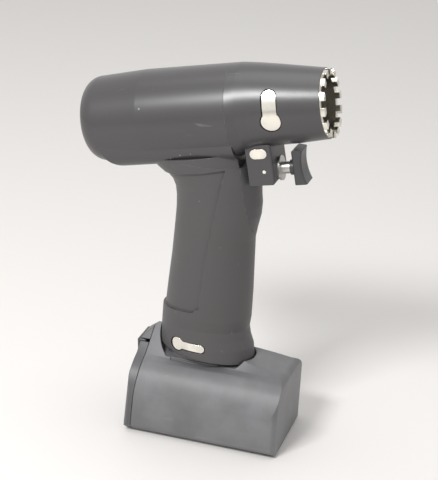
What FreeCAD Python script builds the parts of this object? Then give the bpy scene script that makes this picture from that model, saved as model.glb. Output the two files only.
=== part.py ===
import FreeCAD, Part
import Sketcher
import math
import os

# Cordless surgical power drill: pistol housing, geared motor, sprung trigger, lithium battery.
# Millimetres. +X points to the nose, +Z up, the XZ plane is the plane of symmetry.
# The origin lies on the battery's flat underside, in the plane of symmetry.

SIZES = {
    # Barrel: its axis passes through the seam point and rises towards the nose
    "seam_x": 2.4,
    "seam_z": 176.7,
    "tilt": 12.0,
    "barrel_radius": 23.15,
    "barrel_rear_radius": 21.6,
    "barrel_full_length": 46.0,
    "barrel_length": 79.0,
    "rear_edge_radius": 9.0,
    "rear_crown": 0.7,
    "bore_wall": 3.0,
    "end_pocket_radius": 12.5,
    "end_pocket_wall": 3.4,
    # Gusset between barrel and grip
    "gusset_half_width": 19.0,
    "gusset_drop": 23.0,
    "gusset_corner": 11.0,
    "gusset_length": 69.0,
    "gusset_end_round": 10.0,
    # Grip: height, rear and front of each oval section, and its half width
    "grip_foot_z": 66.0,
    "grip_foot_rear": -31.2,
    "grip_foot_front": 16.2,
    "grip_calf_z": 81.0,
    "grip_calf_rear": -30.1,
    "grip_calf_front": 16.2,
    "grip_waist_z": 97.0,
    "grip_waist_rear": -28.8,
    "grip_waist_front": 15.8,
    "grip_swell_z": 110.0,
    "grip_swell_rear": -28.1,
    "grip_swell_front": 15.5,
    "grip_hollow_z": 116.5,
    "grip_hollow_rear": -27.8,
    "grip_hollow_front": 16.5,
    "grip_finger_z": 123.0,
    "grip_finger_rear": -27.6,
    "grip_finger_front": 17.8,
    "grip_hump_z": 129.0,
    "grip_hump_rear": -27.8,
    "grip_hump_front": 18.0,
    "grip_web_z": 134.0,
    "grip_web_rear": -28.6,
    "grip_web_front": 17.4,
    "grip_flare_z": 138.0,
    "grip_flare_rear": -30.6,
    "grip_flare_front": 17.1,
    "grip_root_z": 141.3,
    "grip_root_rear": -34.2,
    "grip_root_front": 16.9,
    "grip_spread_z": 143.5,
    "grip_spread_rear": -37.6,
    "grip_spread_front": 16.5,
    "grip_top_z": 150.0,
    "grip_top_rear": -47.0,
    "grip_top_front": 14.0,
    "grip_half_width": 18.0,
    "grip_wall": 2.6,
    "grip_cavity_top": 133.0,
    "cable_hole_radius": 4.0,
    # Side recess of the grip
    "recess_depth": 1.2,
    "recess_top_z": 149.0,
    "recess_top_front": 1.8,
    "recess_front_z": 99.0,
    "recess_front_x": -5.3,
    "recess_low_front": -7.2,
    "recess_low_z": 73.0,
    "recess_rear_z": 67.0,
    "recess_reach": 40.0,
    # Collar at the foot of the grip
    "collar_x": -5.9,
    "collar_depth": 25.1,
    "collar_half_width": 17.6,
    "collar_rim_z": 44.4,
    "collar_rim_slope": 5.2,
    "collar_reserve": 6.0,
    "collar_mid_z": 50.0,
    "collar_mid_taper": 0.7,
    "collar_throat_z": 55.0,
    "collar_throat_taper": 2.6,
    "neck_z": 60.0,
    "neck_taper": 3.6,
    "neck_side_taper": 0.7,
    "collar_rear_swell": 0.4,
    "collar_wall": 2.8,
    # Nose housing: offset and radius of its round sections
    "nose_shoulder_at": 5.0,
    "nose_shoulder_rise": 1.1,
    "nose_shoulder_radius": 22.05,
    "nose_waist_at": 10.0,
    "nose_waist_rise": 1.4,
    "nose_waist_radius": 21.25,
    "nose_middle_at": 15.0,
    "nose_middle_rise": 1.4,
    "nose_middle_radius": 20.65,
    "nose_window_at": 23.0,
    "nose_window_rise": 1.1,
    "nose_window_radius": 19.85,
    "nose_fore_at": 31.0,
    "nose_fore_rise": 0.6,
    "nose_fore_radius": 19.1,
    "nose_tip_at": 46.2,
    "nose_tip_radius": 17.4,
    "spigot_length": 4.0,
    "spigot_bore": 16.2,
    "register_play": 0.05,
    # Coupling ring and attachment seat
    "ring_length": 14.0,
    "ring_bore": 14.0,
    "ring_radius": 15.6,
    "ring_rim_radius": 17.0,
    "ring_proud": 2.4,
    "ring_notches": 14,
    "notch_width": 3.3,
    "notch_depth": 2.3,
    "seat_bore": 14.4,
    "seat_length": 21.0,
    "seat_floor": 2.4,
    "seat_play": 0.1,
    # Keyhole release levers of the nose
    "nose_key_at": 21.9,
    "nose_key_up": -2.5,
    "nose_key_radius": 5.3,
    "nose_key_stem": 3.9,
    "nose_key_top": 9.3,
    "lever_gap": 0.5,
    "lever_inset": 0.4,
    "lever_thickness": 2.0,
    "pin_radius": 0.6,
    "pin_play": 0.05,
    "pin_anchor": 1.2,
    # Keyhole battery levers of the collar
    "collar_key_x": -18.2,
    "collar_key_z": 50.6,
    "collar_key_radius": 4.0,
    "collar_key_stem": 2.6,
    "collar_key_front": -5.1,
    # Motor
    "can_play": 0.05,
    "can_wall": 1.8,
    "motor_end_gap": 0.6,
    "can_front_at": -28.0,
    "stator_bore": 9.8,
    "stator_inset": 4.0,
    "stator_slots": 6,
    "slot_width": 3.2,
    "slot_depth": 4.6,
    "shaft_radius": 2.45,
    "bearing_play": 0.05,
    "bearing_radius": 6.5,
    "bearing_width": 4.5,
    "air_gap": 0.8,
    "motor_plate": 4.0,
    "bell_length": 5.0,
    "bell_wall": 2.2,
    "front_plate_at": -23.0,
    # Planetary gear stage
    "module": 0.9,
    "sun_teeth": 12,
    "planet_teeth": 12,
    "ring_teeth": 36,
    "planet_count": 3,
    "pressure_angle": 25.0,
    "addendum": 0.9,
    "dedendum": 1.2,
    "backlash": 0.12,
    "gear_front_at": -12.0,
    "planet_width": 8.0,
    "sun_length": 9.5,
    "planet_pin_radius": 2.0,
    "carrier_radius": 14.4,
    "carrier_thickness": 3.0,
    "carrier_gap": 0.5,
    "gearcase_front_at": -8.0,
    # Spindle
    "spindle_radius": 5.0,
    "spindle_tip_at": 24.5,
    "spindle_bearing_radius": 10.0,
    "spindle_bearing_width": 6.0,
    "spindle_plate": 4.0,
    "spindle_hub_radius": 12.4,
    "spindle_hub_at": 1.5,
    "seal_radius": 8.2,
    "seal_length": 3.0,
    "drive_radius": 8.6,
    "drive_at": 18.0,
    "drive_tip_at": 34.0,
    "drive_socket": 6.6,
    "drive_socket_depth": 7.0,
    "drive_slot": 3.0,
    # Trigger block under the nose
    "block_half_width": 12.5,
    "block_rear_at": 4.6,
    "block_front_at": 17.6,
    "block_low": -36.3,
    "block_edge": 1.2,
    "trigger_up": -31.3,
    "trigger_shaft_radius": 3.15,
    "trigger_stem_radius": 1.6,
    "trigger_flange_radius": 3.9,
    "trigger_chamber_radius": 4.1,
    "trigger_stem_at": 7.0,
    "trigger_flange_at": 12.4,
    "trigger_flange_length": 1.4,
    "trigger_play": 0.05,
    "trigger_travel": 4.4,
    "stop_gap": 0.1,
    "magnet_length": 1.0,
    "bush_radius": 5.0,
    "bush_flange_radius": 6.3,
    "bush_flange": 1.2,
    "bush_gap": 0.2,
    "boss_radius": 3.9,
    "pad_at": 25.6,
    "pad_top": -22.0,
    "pad_low": -39.0,
    "pad_half_width": 6.0,
    "pad_top_front": 31.3,
    "pad_low_front": 31.9,
    "pad_hollow": 26.0,
    "pad_edge": 1.1,
    "spring_wire": 0.35,
    "spring_turns": 5,
    "spring_steps": 12,
    "set_screw_at": 12.9,
    "set_screw_up": -29.4,
    "set_screw_radius": 0.9,
    "set_screw_length": 2.6,
    "selector_at": 11.2,
    "selector_up": -20.0,
    "selector_half_length": 4.3,
    "selector_half_height": 2.5,
    "selector_proud": 0.5,
    "selector_depth": 1.1,
    "selector_travel": 0.7,
    "selector_play": 0.1,
    # Battery case
    "cell_front_room": 3.9,
    "battery_rear": 41.5,
    "battery_lean": 4.6,
    "battery_foot_half_width": 22.9,
    "battery_belly_half_width": 27.9,
    "battery_belly_z": 14.0,
    "battery_shoulder_half_width": 13.7,
    "battery_shoulder_z": 40.3,
    "battery_side_radius": 24.0,
    "battery_back_half_width": 6.0,
    "battery_back_z": 53.5,
    "battery_back_x": -33.4,
    "battery_chamfer_z": 44.0,
    "battery_wall": 2.2,
    "battery_corner": 5.0,
    "cap_thickness": 3.5,
    "cell_room_top": 37.3,
    "cell_room_half_width": 11.5,
    "socket_floor_z": 41.0,
    "socket_play": 1.0,
    "scoop_front_x": 13.0,
    "scoop_low_x": -3.0,
    "scoop_low_z": 38.9,
    "scoop_rear_x": -22.0,
    "scoop_back_x": -28.5,
    "scoop_inner": 12.6,
    "tower_play": 1.8,
    "tower_top_z": 55.5,
    "tower_edge": 1.5,
    "contact_height": 0.8,
    "contact_length": 6.0,
    "contact_width": 2.6,
    "contact_pitch": 9.0,
    "contact_count": 3,
    "contact_gap": 0.3,
    "pin_block_z": 57.6,
    "pin_block_top": 66.0,
    "contact_pin_radius": 1.2,
    "board_thickness": 1.6,
    "board_length": 20.0,
    "board_height": 46.0,
    "cell_radius": 9.2,
    "cell_length": 65.0,
    "cell_gap": 0.2,
    "cell_rear_x": -33.4,
    "cell_board_height": 24.0,
    "cell_board_half_width": 12.0,
    # Rear button of the battery
    "latch_z": 32.0,
    "latch_half_height": 8.6,
    "latch_half_width": 8.5,
    "latch_proud": 6.0,
    "latch_curve": 11.0,
    "latch_play": 0.35,
    "latch_travel": 1.6,
    # Screws of the battery cap
    "cap_screw_radius": 1.9,
    "cap_screw_shank": 1.0,
    "cap_screw_head": 1.1,
    "cap_screw_length": 3.2,
    "cap_screw_y": 17.0,
    "cap_screw_low_z": 7.5,
}

X_AXIS = FreeCAD.Vector(1, 0, 0)
Y_AXIS = FreeCAD.Vector(0, 1, 0)
Z_AXIS = FreeCAD.Vector(0, 0, 1)
BIG = 150.0

doc = FreeCAD.newDocument("surgical_drill")
sheet = doc.addObject("Spreadsheet::Sheet", "Dims")
NODES = {}


# A number that also carries the sheet expression which gives it
class Size:
    def __init__(self, number, text):
        self.number = number
        self.text = text

    def __add__(self, other):
        other = as_size(other)
        return Size(self.number + other.number, f"({self.text} + {other.text})")

    def __sub__(self, other):
        other = as_size(other)
        return Size(self.number - other.number, f"({self.text} - {other.text})")

    def __mul__(self, other):
        other = as_size(other)
        return Size(self.number * other.number, f"({self.text} * {other.text})")

    def __truediv__(self, other):
        other = as_size(other)
        return Size(self.number / other.number, f"({self.text} / {other.text})")

    def __neg__(self):
        return Size(-self.number, f"(0 - {self.text})")

    __radd__ = __add__
    __rmul__ = __mul__

    def __rsub__(self, other):
        return as_size(other) - self


def as_size(value):
    if isinstance(value, Size):
        return value
    return Size(float(value), f"{float(value):.6f}")


def sine(angle):
    return Size(math.sin(math.radians(angle.number)), f"sin({angle.text} * 1 deg)")


def cosine(angle):
    return Size(math.cos(math.radians(angle.number)), f"cos({angle.text} * 1 deg)")


class Named:
    pass


d = Named()
for row, (word, number) in enumerate(SIZES.items(), start=1):
    sheet.set(f"A{row}", str(number))
    sheet.setAlias(f"A{row}", word)
    setattr(d, word, Size(float(number), f"Dims.{word}"))
doc.recompute()

ZERO = as_size(0)
bore_radius = d.barrel_rear_radius - d.bore_wall
can_radius = bore_radius - d.can_play
end_pocket_depth = d.barrel_length - d.end_pocket_wall
bore_depth = end_pocket_depth - d.motor_end_gap - d.bell_length
battery_front = (d.cell_rear_x + d.cell_length + d.cell_gap + d.board_thickness
                 + d.cell_front_room + d.battery_wall)


# Binds one property of an object to the sheet
def bind(item, prop, size):
    size = as_size(size)
    item.setExpression(prop, size.text)


# Places an item in the part's frame; turn is an angle about the given axis
def place(item, x=ZERO, y=ZERO, z=ZERO, axis=Y_AXIS, turn=None):
    x, y, z = as_size(x), as_size(y), as_size(z)
    angle = 0.0 if turn is None else as_size(turn).number
    base = FreeCAD.Vector(x.number, y.number, z.number)
    item.Placement = FreeCAD.Placement(base, FreeCAD.Rotation(axis, angle))
    bind(item, "Placement.Base.x", x)
    bind(item, "Placement.Base.y", y)
    bind(item, "Placement.Base.z", z)
    if turn is not None:
        bind(item, "Placement.Rotation.Angle", turn)
    return item


# Position of a point given along the barrel and above its axis
def barrel_point(along, up=ZERO):
    along, up = as_size(along), as_size(up)
    x = d.seam_x + along * cosine(d.tilt) - up * sine(d.tilt)
    z = d.seam_z + along * sine(d.tilt) + up * cosine(d.tilt)
    return x, z


# Lays an item drawn with X along the barrel and Z above its axis on the barrel
def lay_on_barrel(item, along=ZERO, up=ZERO, side=ZERO):
    x, z = barrel_point(along, up)
    return place(item, x, side, z, -Y_AXIS, d.tilt)


# Points an item's own Z axis along the barrel
def aim_along_barrel(item, along=ZERO, up=ZERO, side=ZERO):
    x, z = barrel_point(along, up)
    return place(item, x, side, z, Y_AXIS, 90 - d.tilt)


def new_body(name):
    return doc.addObject("PartDesign::Body", name)


def new_sketch(body, role, name):
    sketch = body.newObject("Sketcher::SketchObject", name)
    plane = next(item for item in body.Origin.OriginFeatures if item.Role == role)
    sketch.AttachmentSupport = (plane, [""])
    sketch.MapMode = "FlatFace"
    sketch.Visibility = False
    return sketch


# Centre of the arc of the given radius from start to end, left of the chord when positive
def arc_centre(start, end, radius):
    chord = end - start
    half = chord.Length / 2
    height = math.sqrt(max(radius * radius - half * half, 0.0))
    left = FreeCAD.Vector(-chord.y, chord.x, 0).normalize()
    return (start + end) / 2 + left * math.copysign(height, radius)


# Closed outline through corners (x, y) or (x, y, radius); a radius bends the next stretch,
# with its centre on the left when the radius is positive. Half circles are level or upright.
def outline(sketch, corners):
    corners = [tuple(as_size(value) for value in corner) for corner in corners]
    points = [FreeCAD.Vector(corner[0].number, corner[1].number, 0) for corner in corners]
    first = sketch.GeometryCount
    starts, ends, rims = [], [], []
    for index, corner in enumerate(corners):
        start, end = points[index], points[(index + 1) % len(points)]
        if len(corner) == 3:
            radius = corner[2]
            centre = arc_centre(start, end, radius.number)
            turn = [math.atan2(p.y - centre.y, p.x - centre.x) for p in (start, end)]
            if radius.number < 0:
                turn.reverse()
            full = Part.Circle(centre, Z_AXIS, abs(radius.number))
            sketch.addGeometry(Part.ArcOfCircle(full, turn[0], turn[1]), False)
            starts.append(1 if radius.number > 0 else 2)
            ends.append(2 if radius.number > 0 else 1)
            rims.append((first + index, corner, end - start))
        else:
            sketch.addGeometry(Part.LineSegment(start, end), False)
            starts.append(1)
            ends.append(2)
    links = []
    for index in range(len(corners)):
        after = (index + 1) % len(corners)
        links.append(Sketcher.Constraint("Coincident", first + index, ends[index],
                                         first + after, starts[after]))
    sketch.addConstraint(links)
    for index, corner in enumerate(corners):
        for kind, value in zip(("DistanceX", "DistanceY"), corner[:2]):
            number = sketch.addConstraint(
                Sketcher.Constraint(kind, first + index, starts[index], value.number))
            sketch.setExpression(f"Constraints[{number}]", value.text)
    for geometry, (x, y, radius), chord in rims:
        radius = radius if radius.number > 0 else -radius
        if abs(chord.Length - 2 * radius.number) > 1e-6:
            rule, value = Sketcher.Constraint("Radius", geometry, radius.number), radius
        elif abs(chord.x) < abs(chord.y):
            rule, value = Sketcher.Constraint("DistanceX", geometry, 3, x.number), x
        else:
            rule, value = Sketcher.Constraint("DistanceY", geometry, 3, y.number), y
        number = sketch.addConstraint(rule)
        sketch.setExpression(f"Constraints[{number}]", value.text)


def circle(sketch, x, y, radius):
    x, y, radius = as_size(x), as_size(y), as_size(radius)
    centre = FreeCAD.Vector(x.number, y.number, 0)
    item = sketch.addGeometry(Part.Circle(centre, Z_AXIS, radius.number), False)
    for kind, value in (("DistanceX", x), ("DistanceY", y)):
        number = sketch.addConstraint(Sketcher.Constraint(kind, item, 3, value.number))
        sketch.setExpression(f"Constraints[{number}]", value.text)
    number = sketch.addConstraint(Sketcher.Constraint("Radius", item, radius.number))
    sketch.setExpression(f"Constraints[{number}]", radius.text)


def rectangle(sketch, left, low, right, high):
    outline(sketch, [(left, low), (right, low), (right, high), (left, high)])


def pad(body, sketch, length, both_ways=False, backwards=False):
    feature = body.newObject("PartDesign::Pad", f"{sketch.Name}_pad")
    feature.Profile = sketch
    bind(feature, "Length", length)
    feature.SideType = "Symmetric" if both_ways else "One side"
    feature.Reversed = backwards
    body.Tip = feature
    return feature


def pocket(body, sketch, length, both_ways=False, backwards=False):
    feature = body.newObject("PartDesign::Pocket", f"{sketch.Name}_pocket")
    feature.Profile = sketch
    bind(feature, "Length", length)
    feature.SideType = "Symmetric" if both_ways else "One side"
    feature.Reversed = backwards
    body.Tip = feature
    return feature


def spin(body, sketch, kind="Revolution"):
    feature = body.newObject(f"PartDesign::{kind}", f"{sketch.Name}_turn")
    feature.Profile = sketch
    feature.ReferenceAxis = (sketch, ["H_Axis"])
    feature.Angle = 360
    body.Tip = feature
    return feature


# Repeats a feature around the body's X axis
def repeat_around(body, feature, count, role="X_Axis"):
    pattern = body.newObject("PartDesign::PolarPattern", f"{feature.Name}_pattern")
    axis = next(item for item in body.Origin.OriginFeatures if item.Role == role)
    pattern.Originals = [feature]
    pattern.Axis = (axis, [""])
    pattern.Angle = 360
    bind(pattern, "Occurrences", count)
    body.Tip = pattern
    return pattern


# A piece turned about the barrel's axis; corners are (along, radius)
def turned_body(name, corners):
    body = new_body(name)
    sketch = new_sketch(body, "XZ_Plane", f"{name}_section")
    outline(sketch, corners)
    spin(body, sketch)
    return body


# A sleeve between two stations of the barrel
def sleeve_corners(rear, front, inner, outer):
    return [(rear, inner), (front, inner), (front, outer), (rear, outer)]


def prism(name, role, corners, length, both_ways=True, backwards=False):
    body = new_body(name)
    sketch = new_sketch(body, role, f"{name}_outline")
    outline(sketch, corners)
    pad(body, sketch, length, both_ways, backwards)
    return body


def cylinder(name, radius, length):
    item = doc.addObject("Part::Cylinder", name)
    bind(item, "Radius", radius)
    bind(item, "Height", length)
    return item


def block(name, length, width, height):
    item = doc.addObject("Part::Box", name)
    bind(item, "Length", length)
    bind(item, "Width", width)
    bind(item, "Height", height)
    return item


def fuse(name, items):
    item = doc.addObject("Part::MultiFuse", name)
    item.Shapes = items
    return item


def cut(name, base, tool):
    item = doc.addObject("Part::Cut", name)
    item.Base = base
    item.Tool = tool
    return item


# Cuts with one tool after another
def cut_each(name, base, tools):
    for index, tool in enumerate(tools, start=1):
        base = cut(f"{name}_{index}", base, tool)
    return base


def common(name, base, tool):
    item = doc.addObject("Part::Common", name)
    item.Base = base
    item.Tool = tool
    return item


def loft(name, sections):
    item = doc.addObject("Part::Loft", name)
    item.Sections = sections
    item.Solid = True
    item.Ruled = True
    return item


# Rounds the edges of an object's shape that a test picks
def round_edges(name, base, radius, wanted):
    doc.recompute()
    item = doc.addObject("Part::Fillet", name)
    item.Base = base
    size = radius.number
    item.Edges = [(index, size, size) for index, edge in enumerate(base.Shape.Edges, start=1)
                  if wanted(edge)]
    return item


def node(name, item):
    item.Label = name
    NODES[name] = item
    return item


# A level oval section of the grip between its rear and front
def oval(name, height, rear, front, half_width, inset=ZERO):
    item = doc.addObject("Part::Ellipse", name)
    bind(item, "MajorRadius", (front - rear) / 2 - inset)
    bind(item, "MinorRadius", half_width - inset)
    return place(item, (front + rear) / 2, ZERO, height)


def oval_prism(name, centre, depth, half_width, low, high):
    item = doc.addObject("Part::Extrusion", name)
    item.Base = oval(f"{name}_oval", low, centre - depth, centre + depth, half_width)
    item.Dir = Z_AXIS
    item.DirMode = "Custom"
    item.Solid = True
    bind(item, "LengthFwd", high - low)
    return item


# Upright prism with straight sides and half round ends
def long_round_prism(name, centre, half_length, half_width, low, high):
    flat = half_length - half_width
    body = prism(name, "XY_Plane", [
        (-flat, -half_width), (flat, -half_width, half_width), (flat, half_width),
        (-flat, half_width, half_width)], high - low, both_ways=False)
    return place(body, centre, ZERO, low)


# The grip and its collar as one smooth form, drawn in by an inset
def grip_form(name, inset=ZERO):
    half = d.grip_half_width
    rim_half = d.collar_half_width
    rear = d.collar_x - d.collar_depth
    front = d.collar_x + d.collar_depth
    swell = rear - d.collar_rear_swell
    foot_half = half - d.neck_side_taper / 2
    collar = [
        ("reserve", d.collar_rim_z - d.collar_reserve, rear, front, rim_half),
        ("rim", d.collar_rim_z, rear, front, rim_half),
        ("mid", d.collar_mid_z, swell, front - d.collar_mid_taper, rim_half),
        ("throat", d.collar_throat_z, swell, front - d.collar_throat_taper,
         rim_half - d.neck_side_taper / 2),
        ("neck", d.neck_z, swell, front - d.neck_taper, rim_half - d.neck_side_taper),
        ("sill", d.grip_foot_z, d.grip_foot_rear, d.grip_foot_front, foot_half),
    ]
    hand = [
        ("foot", d.grip_foot_z, d.grip_foot_rear, d.grip_foot_front, foot_half),
        ("calf", d.grip_calf_z, d.grip_calf_rear, d.grip_calf_front, half),
        ("waist", d.grip_waist_z, d.grip_waist_rear, d.grip_waist_front, half),
        ("swell", d.grip_swell_z, d.grip_swell_rear, d.grip_swell_front, half),
        ("hollow", d.grip_hollow_z, d.grip_hollow_rear, d.grip_hollow_front, half),
        ("finger", d.grip_finger_z, d.grip_finger_rear, d.grip_finger_front, half),
        ("hump", d.grip_hump_z, d.grip_hump_rear, d.grip_hump_front, half),
        ("web", d.grip_web_z, d.grip_web_rear, d.grip_web_front, half),
    ]
    web = [
        ("web_foot", d.grip_web_z, d.grip_web_rear, d.grip_web_front, half),
        ("flare", d.grip_flare_z, d.grip_flare_rear, d.grip_flare_front, half),
        ("root", d.grip_root_z, d.grip_root_rear, d.grip_root_front, half),
        ("spread", d.grip_spread_z, d.grip_spread_rear, d.grip_spread_front, half),
        ("top", d.grip_top_z, d.grip_top_rear, d.grip_top_front, half),
    ]
    lofts = []
    for index, rows in enumerate((collar, hand, web), start=1):
        ovals = [oval(f"{name}_{word}", z, rear, front, width, inset)
                 for word, z, rear, front, width in rows]
        lofts.append(loft(f"{name}_loft_{index}", ovals))
    return fuse(f"{name}_form", lofts)


# Outer form of the rear barrel: a slight taper to a rounded end
def barrel_form():
    edge = d.rear_edge_radius
    flat = d.barrel_rear_radius - edge
    corners = [
        (ZERO, ZERO), (ZERO, d.barrel_radius), (-d.barrel_full_length, d.barrel_radius),
        (edge - d.barrel_length, d.barrel_rear_radius, edge),
        (-d.barrel_length, flat), (-d.barrel_length - d.rear_crown, ZERO),
    ]
    return lay_on_barrel(turned_body("barrel_form", corners))


# U-shaped belly that carries the barrel on the grip
def gusset_form():
    half, drop, corner = d.gusset_half_width, d.gusset_drop, d.gusset_corner
    corners = [
        (-half, ZERO), (-half, corner - drop, corner), (corner - half, -drop),
        (half - corner, -drop, corner), (half, corner - drop), (half, ZERO),
    ]
    body = prism("gusset_form", "YZ_Plane", corners, d.gusset_length, both_ways=False)
    end = new_sketch(body, "XZ_Plane", "gusset_end")
    outline(end, [
        (ZERO, ZERO), (-1, ZERO), (-1, -drop - 1), (d.gusset_end_round, -drop - 1),
        (d.gusset_end_round, -drop, -d.gusset_end_round - 4), (ZERO, -d.gusset_corner),
    ])
    pocket(body, end, 4 * half, both_ways=True)
    return lay_on_barrel(body, along=-d.gusset_length)


# Round section of the nose, its centre a little above the barrel's axis
def nose_section(name, along, rise, radius, inset):
    item = doc.addObject("Part::Circle", name)
    bind(item, "Radius", radius - inset)
    return aim_along_barrel(item, along, rise)


def nose_form(name, inset=ZERO):
    return loft(f"{name}_form", [
        nose_section(f"{name}_seam", ZERO, ZERO, d.barrel_radius, inset),
        nose_section(f"{name}_shoulder", d.nose_shoulder_at, d.nose_shoulder_rise,
                     d.nose_shoulder_radius, inset),
        nose_section(f"{name}_waist", d.nose_waist_at, d.nose_waist_rise,
                     d.nose_waist_radius, inset),
        nose_section(f"{name}_middle", d.nose_middle_at, d.nose_middle_rise,
                     d.nose_middle_radius, inset),
        nose_section(f"{name}_window", d.nose_window_at, d.nose_window_rise,
                     d.nose_window_radius, inset),
        nose_section(f"{name}_fore", d.nose_fore_at, d.nose_fore_rise,
                     d.nose_fore_radius, inset),
        nose_section(f"{name}_tip", d.nose_tip_at, ZERO, d.nose_tip_radius, inset),
    ])


# Keyhole outline: a round pad and a stem of half width stem that ends round at far_end
def keyhole(sketch, x, y, radius, stem, end_x, end_y):
    if abs(x.number - end_x.number) < abs(y.number - end_y.number):
        outline(sketch, [
            (x - stem, end_y, -stem), (x + stem, end_y), (x + stem, y), (x - stem, y)])
    else:
        outline(sketch, [
            (end_x, y + stem, -stem), (end_x, y - stem), (x, y - stem), (x, y + stem)])


def keyhole_prism(name, x, y, radius, stem, end_x, end_y, length, both_ways, backwards):
    body = new_body(name)
    slot = new_sketch(body, "XZ_Plane", f"{name}_stem")
    keyhole(slot, x, y, radius, stem, end_x, end_y)
    pad(body, slot, length, both_ways, backwards)
    disc = new_sketch(body, "XZ_Plane", f"{name}_round")
    circle(disc, x, y, radius)
    pad(body, disc, length, both_ways, backwards)
    return body


def nose_keyhole(name, shrink, length, both_ways=True, backwards=False):
    body = keyhole_prism(name, d.nose_key_at, d.nose_key_up, d.nose_key_radius - shrink,
                         d.nose_key_stem - shrink, d.nose_key_at, d.nose_key_top, length,
                         both_ways, backwards)
    return lay_on_barrel(body)


def collar_keyhole(name, shrink, length, both_ways=True, backwards=False):
    body = keyhole_prism(name, d.collar_key_x, d.collar_key_z, d.collar_key_radius - shrink,
                         d.collar_key_stem - shrink, d.collar_key_front, d.collar_key_z,
                         length, both_ways, backwards)
    return place(body)


# Distance of the nose lever's pin from the plane of symmetry
def nose_pin_side():
    middle = d.nose_window_radius - d.lever_inset - d.lever_thickness / 2
    rise = d.nose_key_top - d.nose_window_rise
    side = math.sqrt(middle.number ** 2 - rise.number ** 2)
    return Size(side, f"sqrt({middle.text} ^ 2 - {rise.text} ^ 2)")


def collar_pin_side():
    depth = d.collar_depth - d.lever_inset
    half = d.collar_half_width - d.lever_inset - d.lever_thickness / 2
    reach = (d.collar_key_front - d.collar_x) / depth
    side = half.number * math.sqrt(1 - reach.number ** 2)
    return Size(side, f"({half.text} * sqrt(1 - {reach.text} ^ 2))")


def nose_pin(name, side, radius):
    half = d.nose_key_stem + d.pin_anchor
    item = cylinder(name, radius, 2 * half)
    return aim_along_barrel(item, d.nose_key_at - half, d.nose_key_top, side)


def collar_pin(name, side, radius):
    half = d.collar_key_stem + d.pin_anchor
    item = cylinder(name, radius, 2 * half)
    return place(item, d.collar_key_front, side, d.collar_key_z - half)


def side_pair(name, maker, side, radius):
    return fuse(name, [maker(f"{name}_near", -side, radius), maker(f"{name}_far", side, radius)])


# Everything in front of the barrel's seam plane
def front_half(name):
    item = block(name, BIG, 2 * BIG, 2 * BIG)
    x, z = barrel_point(ZERO, -BIG)
    return place(item, x, -BIG, z, -Y_AXIS, d.tilt)


# Hollow of the grip, open below through the collar
def grip_room(name):
    foot, top, wall = d.grip_foot_z, d.grip_cavity_top, d.grip_wall
    low = d.collar_rim_z - d.collar_reserve - 2
    bore = collar_bore(f"{name}_bore", ZERO, low, foot)
    rear, front = d.grip_hump_rear + wall, d.grip_swell_front - wall
    room = long_round_prism(f"{name}_room", (rear + front) / 2, (front - rear) / 2,
                            d.grip_half_width - wall - d.recess_depth, foot, top)
    cable = cylinder(f"{name}_cable", d.cable_hole_radius, d.seam_z - top)
    place(cable, d.collar_x, ZERO, top - 2)
    return fuse(name, [bore, room, cable])


def collar_bore(name, play, low, high):
    depth = d.collar_depth - d.collar_wall - d.neck_taper / 2
    half = d.collar_half_width - d.neck_side_taper - d.collar_wall
    return long_round_prism(name, d.collar_x - d.neck_taper / 2, depth - play, half - play,
                            low, high)


# Shallow recess on both sides of the grip, for the palm
def side_recess():
    reach = d.recess_reach
    corners = [
        (d.recess_top_front, d.recess_top_z),
        (d.recess_front_x, d.recess_front_z),
        (d.recess_low_front, d.recess_low_z, 4),
        (d.recess_low_front - 3, d.recess_low_z - 2.5),
        (-reach, d.recess_rear_z),
        (-reach, d.recess_top_z - 9),
    ]
    outside = prism("recess_outline", "XZ_Plane", corners, 4 * d.grip_half_width)
    return cut("side_recess", outside, grip_form("recess_floor", d.recess_depth))


# Everything below the sloping rim of the collar
def under_rim():
    item = block("under_rim", 2 * BIG, BIG, BIG)
    slope = d.collar_rim_slope
    x = d.collar_x - BIG * cosine(slope) - BIG * sine(slope)
    z = d.collar_rim_z + BIG * sine(slope) - BIG * cosine(slope)
    return place(item, x, -BIG / 2, z, Y_AXIS, slope)


def grip_housing(form):
    bore = turned_body("barrel_bore", [
        (1, ZERO), (1, bore_radius), (-bore_depth, bore_radius),
        (-bore_depth, d.end_pocket_radius), (-end_pocket_depth, d.end_pocket_radius),
        (-end_pocket_depth, ZERO),
    ])
    lay_on_barrel(bore)
    shell = fuse("housing_form", [barrel_form(), gusset_form(), form])
    tools = fuse("housing_tools", [
        bore, grip_room("housing_room"), front_half("ahead_of_seam"), side_recess(),
        under_rim(), collar_keyhole("collar_window", ZERO, 4 * d.collar_half_width),
        side_pair("collar_pin_holes", collar_pin, collar_pin_side(), d.pin_radius),
    ])
    return node("grip_housing", cut("grip_housing_shape", shell, tools))


def nose_housing():
    spigot = lay_on_barrel(turned_body("nose_spigot", sleeve_corners(
        -d.spigot_length, d.nose_shoulder_at, d.spigot_bore - 1, bore_radius - d.register_play)))
    bore = lay_on_barrel(turned_body("nose_bore", [
        (-d.spigot_length - 1, ZERO), (-d.spigot_length - 1, d.spigot_bore),
        (d.nose_tip_at - d.ring_length - d.seat_length + d.ring_proud, d.spigot_bore),
        (d.nose_tip_at - d.ring_length + d.ring_proud, d.ring_radius + d.seat_play),
        (d.nose_tip_at + 1, d.ring_radius + d.seat_play), (d.nose_tip_at + 1, ZERO),
    ]))
    shell = fuse("nose_solid", [nose_form("nose"), spigot])
    tools = fuse("nose_tools", [
        bore, nose_keyhole("nose_window", ZERO, 4 * d.barrel_radius),
        side_pair("nose_pin_holes", nose_pin, nose_pin_side(), d.pin_radius),
    ])
    return node("nose_housing", cut("nose_housing_shape", shell, tools))


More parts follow.
